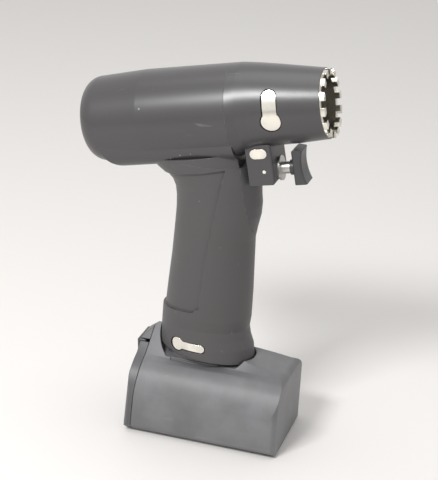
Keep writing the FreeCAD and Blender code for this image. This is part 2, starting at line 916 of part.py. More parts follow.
# Strap at the front of the grip with the trigger block, saddled under the nose
def trigger_frame(form):
    body = new_body("trigger_block")
    face = new_sketch(body, "XZ_Plane", "trigger_block_side")
    rectangle(face, d.block_rear_at, d.block_low, d.block_front_at, -d.ring_radius)
    pad(body, face, 2 * d.block_half_width, both_ways=True)
    lay_on_barrel(body)
    soft = round_edges("trigger_block_soft", body, d.block_edge, front_block_edge)
    chamber = turned_body("trigger_chamber", [
        (chamber_rear(), ZERO), (chamber_rear(), d.trigger_chamber_radius),
        (bush_rear(), d.trigger_chamber_radius), (bush_rear(), d.bush_radius),
        (d.block_front_at + 1, d.bush_radius), (d.block_front_at + 1, ZERO)])
    lay_on_barrel(chamber, up=d.trigger_up)
    tools = [
        nose_form("saddle"), chamber,
        selector_prism("selector_pocket", -d.selector_play, d.block_half_width + 1,
                       d.block_half_width - d.selector_depth - d.selector_travel - 0.3),
        set_screw("set_screw_hole", d.set_screw_length + 1)]
    solid = common("frame_solid", fuse("strap_and_block", [form, soft]), front_half("strap_side"))
    return node("trigger_frame", cut_each("trigger_frame_cut", solid, tools))


def front_block_edge(edge):
    low, high = edge.BoundBox.Center, edge.BoundBox
    along = (low.x - SIZES["seam_x"]) * math.cos(math.radians(SIZES["tilt"]))
    along += (low.z - SIZES["seam_z"]) * math.sin(math.radians(SIZES["tilt"]))
    return along > SIZES["block_front_at"] - 0.1 and high.ZMax < SIZES["seam_z"]


def chamber_rear():
    return d.trigger_stem_at - d.magnet_length - d.trigger_travel - 4 * d.stop_gap


def boss_rear():
    return d.block_front_at + d.bush_flange + d.trigger_travel + d.stop_gap


def bush_rear():
    return d.trigger_flange_at + d.trigger_flange_length + d.bush_gap


# Stadium outline of the oval button, between two distances from the plane of symmetry
def selector_prism(name, shrink, outer, inner):
    half = d.selector_half_height - shrink
    straight = d.selector_half_length - d.selector_half_height
    body = prism(name, "XZ_Plane", [
        (-straight, -half), (straight, -half, half), (straight, half),
        (-straight, half, half)], outer - inner, both_ways=False)
    return lay_on_barrel(body, d.selector_at, d.selector_up, -inner)


def selector_button():
    half = d.block_half_width
    return node("selector_button", selector_prism(
        "selector_shape", ZERO, half + d.selector_proud, half - d.selector_depth))


def set_screw(name, length):
    item = cylinder(name, d.set_screw_radius, length)
    x, z = barrel_point(d.set_screw_at, d.set_screw_up)
    return place(item, x, d.set_screw_length - d.block_half_width, z, X_AXIS, 90)


def trigger_pieces():
    bush = turned_body("bush_shape", [
        (bush_rear(), d.trigger_shaft_radius + d.trigger_play), (bush_rear(), d.bush_radius),
        (d.block_front_at, d.bush_radius), (d.block_front_at, d.bush_flange_radius),
        (d.block_front_at + d.bush_flange, d.bush_flange_radius),
        (d.block_front_at + d.bush_flange, d.trigger_shaft_radius + d.trigger_play)])
    node("trigger_bush", lay_on_barrel(bush, up=d.trigger_up))
    node("bush_set_screw", set_screw("set_screw_shape", d.set_screw_length))
    flange = d.trigger_flange_at + d.trigger_flange_length
    shaft = turned_body("trigger_shaft_shape", [
        (d.trigger_stem_at, ZERO), (d.trigger_stem_at, d.trigger_stem_radius),
        (d.trigger_flange_at, d.trigger_stem_radius),
        (d.trigger_flange_at, d.trigger_flange_radius), (flange, d.trigger_flange_radius),
        (flange, d.trigger_shaft_radius), (d.pad_at, d.trigger_shaft_radius),
        (d.pad_at, ZERO)])
    node("trigger_shaft", lay_on_barrel(shaft, up=d.trigger_up))
    magnet = cylinder("magnet_shape", d.trigger_stem_radius, d.magnet_length)
    node("trigger_magnet", aim_along_barrel(magnet, d.trigger_stem_at - d.magnet_length,
                                            d.trigger_up))
    node("trigger_pad", finger_pad())
    node("trigger_spring", coil_spring())


# Finger pad with a hollowed front and a boss that takes the shaft
def finger_pad():
    body = new_body("trigger_pad_shape")
    side = new_sketch(body, "XZ_Plane", "pad_side")
    outline(side, [
        (d.pad_at, d.pad_low), (d.pad_low_front, d.pad_low, -d.pad_hollow),
        (d.pad_top_front, d.pad_top), (d.pad_at + 1.5, d.pad_top + 1), (d.pad_at, d.pad_top)])
    pad(body, side, 2 * d.pad_half_width, both_ways=True)
    lay_on_barrel(body)
    soft = round_edges("pad_soft", body, d.pad_edge, pad_long_edge)
    boss = lay_on_barrel(turned_body("pad_boss", sleeve_corners(
        boss_rear(), d.pad_at + 1, ZERO, d.boss_radius)), up=d.trigger_up)
    hole = lay_on_barrel(turned_body("pad_hole", sleeve_corners(
        boss_rear() - 1, d.pad_at, ZERO, d.trigger_shaft_radius)), up=d.trigger_up)
    return cut("trigger_pad_cut", fuse("pad_solid", [soft, boss]), hole)


def pad_long_edge(edge):
    box = edge.BoundBox
    return box.YLength < 0.1 and box.ZLength > 5


# Compression spring behind the shaft's flange, at its fitted length, wound from short runs
def coil_spring():
    wire = d.spring_wire.number
    low = chamber_rear() + d.spring_wire + 0.1
    length = (d.trigger_flange_at - d.spring_wire - 0.1 - low).number
    radius = d.trigger_chamber_radius.number - wire - 0.3
    steps = SIZES["spring_steps"]
    count = SIZES["spring_turns"] * steps
    rings = []
    for step in range(count + 1):
        angle = 2 * math.pi * step / steps
        outward = FreeCAD.Vector(math.cos(angle), math.sin(angle), 0)
        middle = outward * radius + Z_AXIS * (length * step / count)
        corners = [middle + outward * (wire * math.cos(turn)) + Z_AXIS * (wire * math.sin(turn))
                   for turn in (math.pi * side / 3 for side in range(6))]
        rings.append(Part.makePolygon(corners + corners[:1]))
    item = doc.addObject("Part::Feature", "spring_shape")
    item.Shape = Part.makeLoft(rings, True, True)
    return aim_along_barrel(item, low, d.trigger_up)


def coupling_ring():
    rim_rear = d.nose_tip_at
    rim_front = d.nose_tip_at + d.ring_proud
    body = turned_body("coupling_ring_shape", [
        (rim_front - d.ring_length, d.ring_bore), (rim_front, d.ring_bore),
        (rim_front, d.ring_rim_radius), (rim_rear, d.ring_rim_radius),
        (rim_rear, d.ring_radius), (rim_front - d.ring_length, d.ring_radius)])
    notch = new_sketch(body, "XY_Plane", "notch")
    rectangle(notch, rim_front - d.notch_depth, -d.notch_width / 2, rim_front + 1,
              d.notch_width / 2)
    first = pocket(body, notch, 2 * d.ring_rim_radius, backwards=True)
    repeat_around(body, first, d.ring_notches)
    return node("coupling_ring", lay_on_barrel(body))


# Steel seat behind the ring, with a floor that the spindle passes through
def attachment_seat():
    front = d.nose_tip_at + d.ring_proud - d.ring_length
    rear = front - d.seat_length
    hole = d.spindle_radius + d.lever_gap
    body = turned_body("attachment_seat_shape", [
        (rear, hole), (rear + d.seat_floor, hole), (rear + d.seat_floor, d.seat_bore),
        (front, d.seat_bore), (front, d.ring_radius), (rear + d.seat_floor, d.ring_radius - 0.3),
        (rear, d.ring_radius - 0.3)])
    return node("attachment_seat", lay_on_barrel(body))


def shaft_seal():
    front = d.nose_tip_at + d.ring_proud - d.ring_length - d.seat_length
    body = turned_body("shaft_seal_shape", [
        (front - d.seal_length, d.spindle_radius + d.bearing_play),
        (front, d.spindle_radius + d.bearing_play), (front, d.seal_radius),
        (front - d.seal_length, d.seal_radius)])
    return node("shaft_seal", lay_on_barrel(body))


# Keyhole leaf cut out of the nose's own form
def nose_lever(name, side):
    shell = cut(f"{name}_leaf", nose_form(f"{name}_face", d.lever_inset),
                nose_form(f"{name}_back", d.lever_inset + d.lever_thickness))
    key = nose_keyhole(f"{name}_key", d.lever_gap, 2 * d.barrel_radius, False, side > 0)
    hole = nose_pin(f"{name}_hole", side * nose_pin_side(), d.pin_radius + d.pin_play)
    return node(name, cut(f"{name}_shape", common(f"{name}_blank", shell, key), hole))


def battery_lever(name, side):
    shell = cut(f"{name}_leaf", collar_face(f"{name}_face", d.lever_inset),
                collar_face(f"{name}_back", d.lever_inset + d.lever_thickness))
    key = collar_keyhole(f"{name}_key", d.lever_gap, 2 * d.collar_half_width, False, side > 0)
    hole = collar_pin(f"{name}_hole", side * collar_pin_side(), d.pin_radius + d.pin_play)
    return node(name, cut(f"{name}_shape", common(f"{name}_blank", shell, key), hole))


def collar_face(name, inset):
    return oval_prism(name, d.collar_x, d.collar_depth - inset, d.collar_half_width - inset,
                      d.collar_rim_z - d.collar_reserve, d.neck_z)


def lever_pins():
    node("nose_lever_pins", side_pair("nose_pins", nose_pin, nose_pin_side(), d.pin_radius))
    node("battery_lever_pins", side_pair("collar_pins", collar_pin, collar_pin_side(),
                                         d.pin_radius))


def bearing(name, rear, inner, outer, width):
    body = turned_body(f"{name}_shape", sleeve_corners(rear, rear + width, inner, outer))
    return node(name, lay_on_barrel(body))


def motor():
    rear, front = d.motor_plate - bore_depth, d.can_front_at
    seat = d.bearing_radius
    bell_end = rear - d.motor_plate - d.bell_length
    node("motor_rear_bell", lay_on_barrel(turned_body("rear_bell_shape", [
        (rear, seat), (rear, can_radius), (rear - d.motor_plate, can_radius),
        (rear - d.motor_plate, seat + d.bell_wall), (bell_end, seat + d.bell_wall),
        (bell_end, seat)])))
    node("motor_can", lay_on_barrel(turned_body("can_shape", sleeve_corners(
        rear, front, can_radius - d.can_wall, can_radius))))
    stator = turned_body("stator_shape", sleeve_corners(
        rear + d.stator_inset, front - d.stator_inset, d.stator_bore,
        can_radius - d.can_wall))
    slot = new_sketch(stator, "XY_Plane", "stator_slot")
    rectangle(slot, rear, -d.slot_width / 2, front, d.slot_width / 2)
    depth = pocket(stator, slot, d.stator_bore + d.slot_depth, backwards=True)
    repeat_around(stator, depth, d.stator_slots)
    node("motor_stator", lay_on_barrel(stator))
    node("motor_front_plate", lay_on_barrel(turned_body("front_plate_shape", sleeve_corners(
        front, d.front_plate_at, seat, can_radius))))
    inner = d.shaft_radius + d.bearing_play
    bearing("rotor_bearing_rear", bell_end, inner, seat, d.bearing_width)
    bearing("rotor_bearing_front", d.front_plate_at - d.bearing_width - 0.2, inner, seat,
            d.bearing_width)
    magnet = turned_body("rotor_magnet_shape", sleeve_corners(
        rear + d.stator_inset + 1, front - d.stator_inset - 1, d.shaft_radius,
        d.stator_bore - d.air_gap))
    node("rotor_magnet", lay_on_barrel(magnet))
    shaft = turned_body("motor_shaft_shape", sleeve_corners(
        bell_end, d.gear_front_at, ZERO, d.shaft_radius))
    node("motor_shaft", lay_on_barrel(shaft))


# Half the angle that a tooth of a gear covers at a radius, on an involute flank
def tooth_half_angle(teeth, pitch_radius, radius, thin):
    angle = math.radians(SIZES["pressure_angle"])
    base = pitch_radius * math.cos(angle)
    here = math.acos(min(base / max(radius, base), 1.0))
    involute = math.tan(angle) - angle - (math.tan(here) - here)
    return math.pi / (2 * teeth) + involute - thin / (2 * pitch_radius)


# Corner points of a gear's outline; an internal gear has its gaps shaped like teeth
def gear_points(teeth, inner, outer, thin, turn=0.0, centre=FreeCAD.Vector()):
    pitch_radius = SIZES["module"] * teeth / 2
    middle = (inner + outer) / 2
    points = []
    for tooth in range(teeth):
        middle_angle = 2 * math.pi * tooth / teeth + turn
        for radius in (inner, middle, outer):
            half = tooth_half_angle(teeth, pitch_radius, radius, thin)
            points.append((radius, middle_angle - half))
        for radius in (outer, middle, inner):
            half = tooth_half_angle(teeth, pitch_radius, radius, thin)
            points.append((radius, middle_angle + half))
    return [centre + FreeCAD.Vector(0, r * math.sin(a), r * math.cos(a)) for r, a in points]


def gear_solid(points, length):
    face = Part.Face(Part.makePolygon(points + points[:1]))
    return face.extrude(FreeCAD.Vector(length, 0, 0))


# A toothed wheel with its axis along X through a centre
def wheel_shape(teeth, length, hole, turn, centre=FreeCAD.Vector()):
    pitch_radius = SIZES["module"] * teeth / 2
    inner = pitch_radius - SIZES["module"] * SIZES["dedendum"]
    outer = pitch_radius + SIZES["module"] * SIZES["addendum"]
    thin = SIZES["backlash"] / 2
    solid = gear_solid(gear_points(teeth, inner, outer, thin, turn, centre), length)
    return solid.cut(Part.makeCylinder(hole, length, centre, X_AXIS))


def sun_gear():
    item = doc.addObject("Part::Feature", "sun_gear_shape")
    item.Shape = wheel_shape(SIZES["sun_teeth"], SIZES["sun_length"], SIZES["shaft_radius"], 0.0)
    return node("sun_gear", lay_on_barrel(item, d.gear_front_at - d.sun_length))


def planet_gears():
    orbit = SIZES["module"] * (SIZES["sun_teeth"] + SIZES["planet_teeth"]) / 2
    half_pitch = math.pi / SIZES["planet_teeth"]
    hole = SIZES["planet_pin_radius"] + SIZES["pin_play"]
    for index in range(SIZES["planet_count"]):
        turn = 2 * math.pi * index / SIZES["planet_count"]
        centre = FreeCAD.Vector(0, orbit * math.sin(turn), orbit * math.cos(turn))
        gear = wheel_shape(SIZES["planet_teeth"], SIZES["planet_width"], hole,
                           half_pitch + turn, centre)
        item = doc.addObject("Part::Feature", f"planet_shape_{index + 1}")
        item.Shape = gear
        node(f"planet_gear_{index + 1}", lay_on_barrel(
            item, d.gear_front_at - d.planet_width))


# Internal gear that also forms the gearbox case
def ring_gear():
    teeth = SIZES["ring_teeth"]
    pitch_radius = SIZES["module"] * teeth / 2
    tip = pitch_radius - SIZES["module"] * SIZES["addendum"]
    root = pitch_radius + SIZES["module"] * SIZES["dedendum"]
    length = (d.gearcase_front_at - d.front_plate_at).number
    gap = gear_points(teeth, tip, root, -SIZES["backlash"] / 2, math.pi / teeth)
    teeth_room = gear_solid(gap, length)
    case = Part.makeCylinder(can_radius.number, length, FreeCAD.Vector(), X_AXIS)
    item = doc.addObject("Part::Feature", "ring_gear_shape")
    item.Shape = case.cut(teeth_room)
    return node("ring_gear", lay_on_barrel(item, d.front_plate_at))


def carrier_and_spindle():
    orbit = d.module * (d.sun_teeth + d.planet_teeth) / 2
    rear = d.gear_front_at + d.carrier_gap
    front = rear + d.carrier_thickness
    carrier = turned_body("carrier_shape", sleeve_corners(rear, front, ZERO, d.carrier_radius))
    drill = new_sketch(carrier, "YZ_Plane", "carrier_hole")
    circle(drill, ZERO, orbit, d.planet_pin_radius)
    hole = pocket(carrier, drill, 1 - rear)
    repeat_around(carrier, hole, d.planet_count)
    node("planet_carrier", lay_on_barrel(carrier))
    pins = []
    for index in range(SIZES["planet_count"]):
        turn = math.radians(360.0 * index / SIZES["planet_count"])
        pin = cylinder(f"planet_pin_{index + 1}", d.planet_pin_radius,
                       front - d.gear_front_at + d.planet_width)
        pins.append(aim_along_barrel(pin, d.gear_front_at - d.planet_width,
                                     orbit * math.cos(turn), orbit * math.sin(turn)))
    node("planet_pins", fuse("planet_pin_set", pins))
    spindle = turned_body("spindle_shape", sleeve_corners(
        front, d.spindle_tip_at, ZERO, d.spindle_radius))
    node("output_spindle", lay_on_barrel(spindle))
    return front


def spindle_support(carrier_front):
    rear = carrier_front + d.carrier_gap
    seat = d.spindle_bearing_radius
    plate = turned_body("spindle_plate_shape", [
        (rear, seat), (rear, can_radius), (rear + d.spindle_plate, can_radius),
        (rear + d.spindle_plate, d.spindle_hub_radius),
        (d.spindle_hub_at, d.spindle_hub_radius), (d.spindle_hub_at, seat)])
    node("spindle_plate", lay_on_barrel(plate))
    bearing("spindle_bearing", rear + 1, d.spindle_radius + d.bearing_play, seat,
            d.spindle_bearing_width)


# Slotted socket that the attachment's tail plugs into
def drive_coupling():
    body = turned_body("drive_coupling_shape", [
        (d.drive_at, d.spindle_radius), (d.spindle_tip_at, d.spindle_radius),
        (d.spindle_tip_at, ZERO), (d.drive_tip_at - d.drive_socket_depth, ZERO),
        (d.drive_tip_at - d.drive_socket_depth, d.drive_socket),
        (d.drive_tip_at, d.drive_socket), (d.drive_tip_at, d.drive_radius),
        (d.drive_at, d.drive_radius)])
    slot = new_sketch(body, "XY_Plane", "drive_slot")
    rectangle(slot, d.drive_tip_at - d.drive_socket_depth + 2, -d.drive_slot / 2,
              d.drive_tip_at + 1, d.drive_slot / 2)
    pocket(body, slot, 3 * d.drive_radius, both_ways=True)
    return node("drive_coupling", lay_on_barrel(body))


# Half profile of the battery across its length, mirrored to the other side
def battery_section(foot, belly, belly_z, side, shoulder, shoulder_z, back, top, low):
    return [
        (-foot, low), (foot, low), (belly, belly_z, side), (shoulder, shoulder_z),
        (back, top), (-back, top), (-shoulder, shoulder_z, side), (-belly, belly_z),
    ]


# Outer form of the battery: its cross profile and its side outline in common
def battery_form():
    lean = sine(d.battery_lean) / cosine(d.battery_lean)
    across = prism("battery_across", "YZ_Plane", battery_section(
        d.battery_foot_half_width, d.battery_belly_half_width, d.battery_belly_z,
        d.battery_side_radius, d.battery_shoulder_half_width, d.battery_shoulder_z,
        d.battery_back_half_width, d.battery_back_z + 4, ZERO), 4 * d.battery_rear)
    place(across)
    side = prism("battery_side", "XZ_Plane", [
        (-d.battery_rear, ZERO), (battery_front, ZERO),
        (battery_front, d.battery_shoulder_z), (d.battery_back_x, d.battery_back_z),
        (-d.battery_rear + d.battery_chamfer_z * lean + 0.6, d.battery_chamfer_z)],
        4 * d.battery_belly_half_width)
    place(side)
    front, rear, half = battery_front, d.battery_rear, d.battery_belly_half_width
    corner = d.battery_corner
    inner = half - corner
    plan = prism("battery_plan", "XY_Plane", [
        (-rear, -inner, corner), (corner - rear, -half), (front - corner, -half, corner),
        (front, -inner), (front, inner, corner), (front - corner, half),
        (corner - rear, half, corner), (-rear, inner)], 4 * d.battery_back_z)
    place(plan)
    return common("battery_form", common("battery_block", across, side), plan)


# Everything behind the leaning joint between battery case and cap
def behind_cap(name, play=ZERO):
    item = block(name, BIG, 2 * BIG, BIG)
    lean = d.battery_lean
    x = d.cap_thickness - d.battery_rear - BIG * cosine(lean) - play
    z = BIG * sine(lean) - 5 * cosine(lean)
    return place(item, x - 5 * sine(lean), -BIG, z, Y_AXIS, lean)


# Socket for the collar, with a finger scoop on each side under the levers
def collar_socket():
    pit = oval_prism("collar_pit", d.collar_x, d.collar_depth + d.socket_play,
                     d.collar_half_width + d.socket_play, d.socket_floor_z,
                     d.battery_back_z + 10)
    scoop = prism("scoop", "XZ_Plane", [
        (d.scoop_front_x, d.battery_back_z), (d.scoop_front_x, d.socket_floor_z + 2),
        (d.scoop_low_x, d.scoop_low_z), (d.scoop_rear_x, d.scoop_low_z + 1),
        (d.scoop_back_x, d.battery_back_z)], 4 * d.battery_belly_half_width)
    place(scoop)
    core = block("scoop_core", 2 * BIG, 2 * d.scoop_inner, BIG)
    place(core, -BIG, -d.scoop_inner, ZERO)
    return fuse("collar_socket", [pit, cut("scoops", scoop, core)])


def battery_pieces():
    wall = d.battery_wall
    form = battery_form()
    room = prism("cell_room", "YZ_Plane", battery_section(
        d.battery_foot_half_width - wall, d.battery_belly_half_width - wall,
        d.battery_belly_z, d.battery_side_radius, d.cell_room_half_width,
        d.cell_room_top, d.cell_room_half_width - 1, d.cell_room_top + 0.2, wall),
        battery_front - wall + d.battery_rear + 1, both_ways=False)
    place(room, -d.battery_rear - 1)
    socket = collar_socket()
    case_tools = fuse("case_tools", [behind_cap("case_rear"), room, socket])
    node("battery_case", cut("battery_case_shape", form, case_tools))
    cap = cut("cap_blank", common("cap_part", form, behind_cap("cap_rear")), socket)
    holes = fuse("cap_tools", [latch_prism("latch_window", d.latch_play), cap_screws("cap_holes")])
    node("battery_cap", cut("battery_cap_shape", cap, holes))
    node("cap_screws", cap_screws("cap_screw_set"))
    node("battery_latch_button", latch_prism("latch_shape", ZERO))
    battery_tower()
    battery_cells()


# Countersunk screws in the battery cap, square to its leaning face
def cap_screws(name):
    lean = sine(d.battery_lean) / cosine(d.battery_lean)
    screws = []
    for side in (-1, 1):
        z = d.cap_screw_low_z
        x = z * lean - d.battery_rear
        label = "near" if side < 0 else "far"
        head = cylinder(f"{name}_{label}_head", d.cap_screw_radius, d.cap_screw_head)
        place(head, x, side * d.cap_screw_y, z, Y_AXIS, 90 + d.battery_lean)
        shank = cylinder(f"{name}_{label}_shank", d.cap_screw_shank, d.cap_screw_length)
        place(shank, x, side * d.cap_screw_y, z, Y_AXIS, 90 + d.battery_lean)
        screws += [head, shank]
    return fuse(name, screws)


# Domed push button at the rear of the battery, drawn from the side
def latch_prism(name, play):
    high = d.latch_half_height + play
    root = d.cap_thickness - d.latch_travel - 2 * d.stop_gap + 10 * play
    body = prism(name, "XZ_Plane", [
        (root, -high), (root, high), (-d.latch_proud / 2, high, d.latch_curve + play),
        (-d.latch_proud / 2, -high)], 2 * (d.latch_half_width + play))
    lean = sine(d.battery_lean) / cosine(d.battery_lean)
    return place(body, d.latch_z * lean - d.battery_rear, ZERO, d.latch_z)


# Plug that stands in the collar, with its contact strips
def battery_tower():
    tower = collar_bore("tower_solid", d.tower_play, d.socket_floor_z, d.tower_top_z)
    node("battery_tower", round_edges("tower_soft", tower, d.tower_edge, tower_top_edge))
    strips = []
    for index in range(SIZES["contact_count"]):
        strip = block(f"contact_strip_{index + 1}", d.contact_length, d.contact_width,
                      d.contact_height)
        offset = index - (SIZES["contact_count"] - 1) / 2
        strips.append(place(strip, d.collar_x + d.contact_pitch * offset - d.contact_length / 2,
                            -d.contact_width / 2, d.tower_top_z))
    node("battery_contacts", fuse("contact_set", strips))


def tower_top_edge(edge):
    return edge.BoundBox.ZMin > SIZES["tower_top_z"] - 0.1


def battery_cells():
    low = d.battery_wall + d.cell_gap + d.cell_radius
    pitch = 2 * d.cell_radius + d.cell_gap
    places = {"near": (-pitch / 2, low), "far": (pitch / 2, low),
              "top": (ZERO, low + pitch * math.sqrt(0.75))}
    for word, (y, z) in places.items():
        cell = cylinder(f"cell_{word}", d.cell_radius, d.cell_length)
        node(f"battery_cell_{word}", place(cell, d.cell_rear_x, y, z, Y_AXIS, as_size(90)))
    board = block("cell_board", d.board_thickness, 2 * d.cell_board_half_width,
                  d.cell_board_height)
    node("battery_board", place(board, d.cell_rear_x + d.cell_length + d.cell_gap,
                                -d.cell_board_half_width, d.battery_wall + d.cell_gap))


# Insulating block with the sprung pins, and the control board that stands on it
def contact_block():
    blank = collar_bore("pin_block_blank", d.seat_play, d.pin_block_z, d.pin_block_top)
    pins = []
    foot = d.tower_top_z + d.contact_height + d.contact_gap
    for index in range(SIZES["contact_count"]):
        pin = cylinder(f"contact_pin_{index + 1}", d.contact_pin_radius,
                       d.pin_block_top - foot)
        offset = index - (SIZES["contact_count"] - 1) / 2
        pins.append(place(pin, d.collar_x + d.contact_pitch * offset, ZERO, foot))
    pin_set = fuse("contact_pin_set", pins)
    node("contact_pins", pin_set)
    node("contact_block", cut("contact_block_shape", blank, pin_set))
    board = block("board_shape", d.board_length, d.board_thickness, d.board_height)
    node("control_board", place(board, d.collar_x - d.board_length / 2,
                                -d.board_thickness / 2, d.pin_block_top))


def build():
    form = grip_form("outer")
    grip_housing(form)
    nose_housing()
    trigger_frame(form)
    trigger_pieces()
    selector_button()
    coupling_ring()
    attachment_seat()
    shaft_seal()
    for word, side in (("near", -1), ("far", 1)):
        nose_lever(f"nose_lever_{word}", side)
        battery_lever(f"battery_lever_{word}", side)
    lever_pins()
    motor()
    sun_gear()
    planet_gears()
    ring_gear()
    spindle_support(carrier_and_spindle())
    drive_coupling()
    contact_block()
    battery_pieces()


def check_and_write():
    doc.recompute()
    faults = [item.Label for item in doc.Objects
              if "Invalid" in item.State or "Error" in item.State]
    if faults:
        raise RuntimeError(f"these objects failed: {faults}")
    for name, item in NODES.items():
        if item.Shape.isNull() or not item.Shape.isValid() or not item.Shape.Solids:
            raise RuntimeError(f"{name} has no valid solid")
    os.makedirs("parts", exist_ok=True)
    for name, item in NODES.items():
        item.Shape.exportStep(f"parts/{name}.step")
        print(name, len(item.Shape.Solids), round(item.Shape.Volume, 2))


build()
check_and_write()
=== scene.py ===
import bpy
import math
from mathutils import Vector, Matrix


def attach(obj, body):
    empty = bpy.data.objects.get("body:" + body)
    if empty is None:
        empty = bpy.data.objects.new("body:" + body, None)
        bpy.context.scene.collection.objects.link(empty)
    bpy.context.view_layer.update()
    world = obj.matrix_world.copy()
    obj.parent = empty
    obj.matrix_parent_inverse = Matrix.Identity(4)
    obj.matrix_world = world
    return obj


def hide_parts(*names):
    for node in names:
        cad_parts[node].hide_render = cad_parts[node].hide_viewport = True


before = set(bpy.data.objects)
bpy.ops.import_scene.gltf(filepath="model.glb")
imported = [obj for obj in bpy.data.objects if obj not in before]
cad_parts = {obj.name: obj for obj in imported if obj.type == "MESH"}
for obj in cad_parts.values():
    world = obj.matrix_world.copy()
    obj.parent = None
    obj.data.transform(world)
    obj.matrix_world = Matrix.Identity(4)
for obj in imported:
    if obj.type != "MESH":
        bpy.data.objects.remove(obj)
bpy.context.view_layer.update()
print("frame loaded:", len(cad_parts), "nodes")

mm = 0.001
# barrel axis through the seam of grip and nose housing, in millimetres and degrees
barrel = {"seamX": 2.4, "seamZ": 176.7, "tilt": 12.0}
tilt = math.radians(barrel["tilt"])
alongBarrel = Vector((math.cos(tilt), 0, math.sin(tilt)))
aboveBarrel = Vector((-math.sin(tilt), 0, math.cos(tilt)))
seamPoint = Vector((barrel["seamX"], 0, barrel["seamZ"])) * mm


# camera: the photograph's view, with the picture taken as 438 by 480
cameraView = {"azimuth": 15.94, "elevation": 22.14, "roll": -3.41, "distance": 0.8,
              "target": (-0.0034, 0, 0.1057), "focalPixels": 1560.0, "pictureHeight": 480,
              "sensor": 36, "clipStart": 0.01}


def makeCamera(view):
    azimuth, elevation, roll = (math.radians(view[key]) for key in ("azimuth", "elevation", "roll"))
    back = Vector((math.sin(azimuth) * math.cos(elevation),
                   -math.cos(azimuth) * math.cos(elevation), math.sin(elevation)))
    right = Vector((math.cos(azimuth), math.sin(azimuth), 0))
    up = back.cross(right)
    rightTurned = right * math.cos(roll) - up * math.sin(roll)
    upTurned = up * math.cos(roll) + right * math.sin(roll)
    turn = Matrix((rightTurned, upTurned, back)).transposed().to_4x4()
    place = Matrix.Translation(Vector(view["target"]) + back * view["distance"])
    lensData = bpy.data.cameras.new("camera")
    lensData.sensor_fit = "AUTO"
    lensData.sensor_width = view["sensor"]
    lensData.lens = view["sensor"] * view["focalPixels"] / view["pictureHeight"]
    lensData.clip_start = view["clipStart"]
    camera = bpy.data.objects.new("camera", lensData)
    camera.matrix_world = place @ turn
    bpy.context.scene.collection.objects.link(camera)
    bpy.context.scene.camera = camera


makeCamera(cameraView)
print("camera set")


# small helpers for material nodes
def newMaterial(name):
    material = bpy.data.materials.new(name)
    material.use_nodes = True
    return material, material.node_tree, material.node_tree.nodes["Principled BSDF"]


def addNode(tree, kind, **settings):
    node = tree.nodes.new(kind)
    for key, value in settings.items():
        setattr(node, key, value)
    return node


def join(tree, output, target):
    tree.links.new(output, target)


def feed(tree, value, target):
    if isinstance(value, (int, float)):
        target.default_value = value
    elif isinstance(value, tuple):
        target.default_value = (*value, 1)
    else:
        join(tree, value, target)


def mathNode(tree, operation, first, second):
    node = addNode(tree, "ShaderNodeMath", operation=operation)
    feed(tree, first, node.inputs[0])
    feed(tree, second, node.inputs[1])
    return node.outputs[0]


def mixColor(tree, amount, first, second):
    node = addNode(tree, "ShaderNodeMix", data_type="RGBA")
    for index, value in ((0, amount), (6, first), (7, second)):
        feed(tree, value, node.inputs[index])
    return node.outputs[2]


def mixValue(tree, amount, first, second):
    node = addNode(tree, "ShaderNodeMix", data_type="FLOAT")
    for index, value in ((0, amount), (2, first), (3, second)):
        feed(tree, value, node.inputs[index])
    return node.outputs[0]


def ramp(tree, value, low, high):
    node = addNode(tree, "ShaderNodeMapRange", clamp=True)
    node.interpolation_type = "SMOOTHSTEP"
    join(tree, value, node.inputs[0])
    node.inputs[1].default_value = low
    node.inputs[2].default_value = high
    return node.outputs[0]


def noise(tree, place, scale, detail, rough=0.55):
    node = addNode(tree, "ShaderNodeTexNoise")
    join(tree, place, node.inputs["Vector"])
    feed(tree, scale, node.inputs["Scale"])
    node.inputs["Detail"].default_value = detail
    node.inputs["Roughness"].default_value = rough
    return node.outputs["Fac"]


def objectPlace(tree):
    return addNode(tree, "ShaderNodeTexCoord").outputs["Object"]


# shader node groups shared by the materials: each gives a mask of marks
def newGroup(name, inputs, outputs):
    group = bpy.data.node_groups.new(name, "ShaderNodeTree")
    for direction, sockets in (("INPUT", inputs), ("OUTPUT", outputs)):
        for label, kind in sockets.items():
            group.interface.new_socket(label, in_out=direction, socket_type="NodeSocket" + kind)
    source, result = (group.nodes.new(kind) for kind in ("NodeGroupInput", "NodeGroupOutput"))
    return group, source.outputs, result.inputs


def makeSpecks():
    group, given, result = newGroup(
        "specks", {"Place": "Vector", "Scale": "Float", "Size": "Float", "Share": "Float"},
        {"Mask": "Float"})
    cells = addNode(group, "ShaderNodeTexVoronoi", feature="F1")
    join(group, given["Place"], cells.inputs["Vector"])
    join(group, given["Scale"], cells.inputs["Scale"])
    chosen = addNode(group, "ShaderNodeSeparateColor")
    join(group, cells.outputs["Color"], chosen.inputs[0])
    small = mathNode(group, "LESS_THAN", cells.outputs["Distance"], given["Size"])
    few = mathNode(group, "LESS_THAN", chosen.outputs[0], given["Share"])
    join(group, mathNode(group, "MULTIPLY", small, few), result["Mask"])
    return group


scratchLook = {
    "turn": (0.3, 0.4, 0.7), "stretch": (1, 14, 5), "streakDetail": 6, "patchScale": 60,
    "patchDetail": 2, "noiseRough": 0.5, "thin": (0.66, 0.74), "patches": (0.5, 0.62),
}


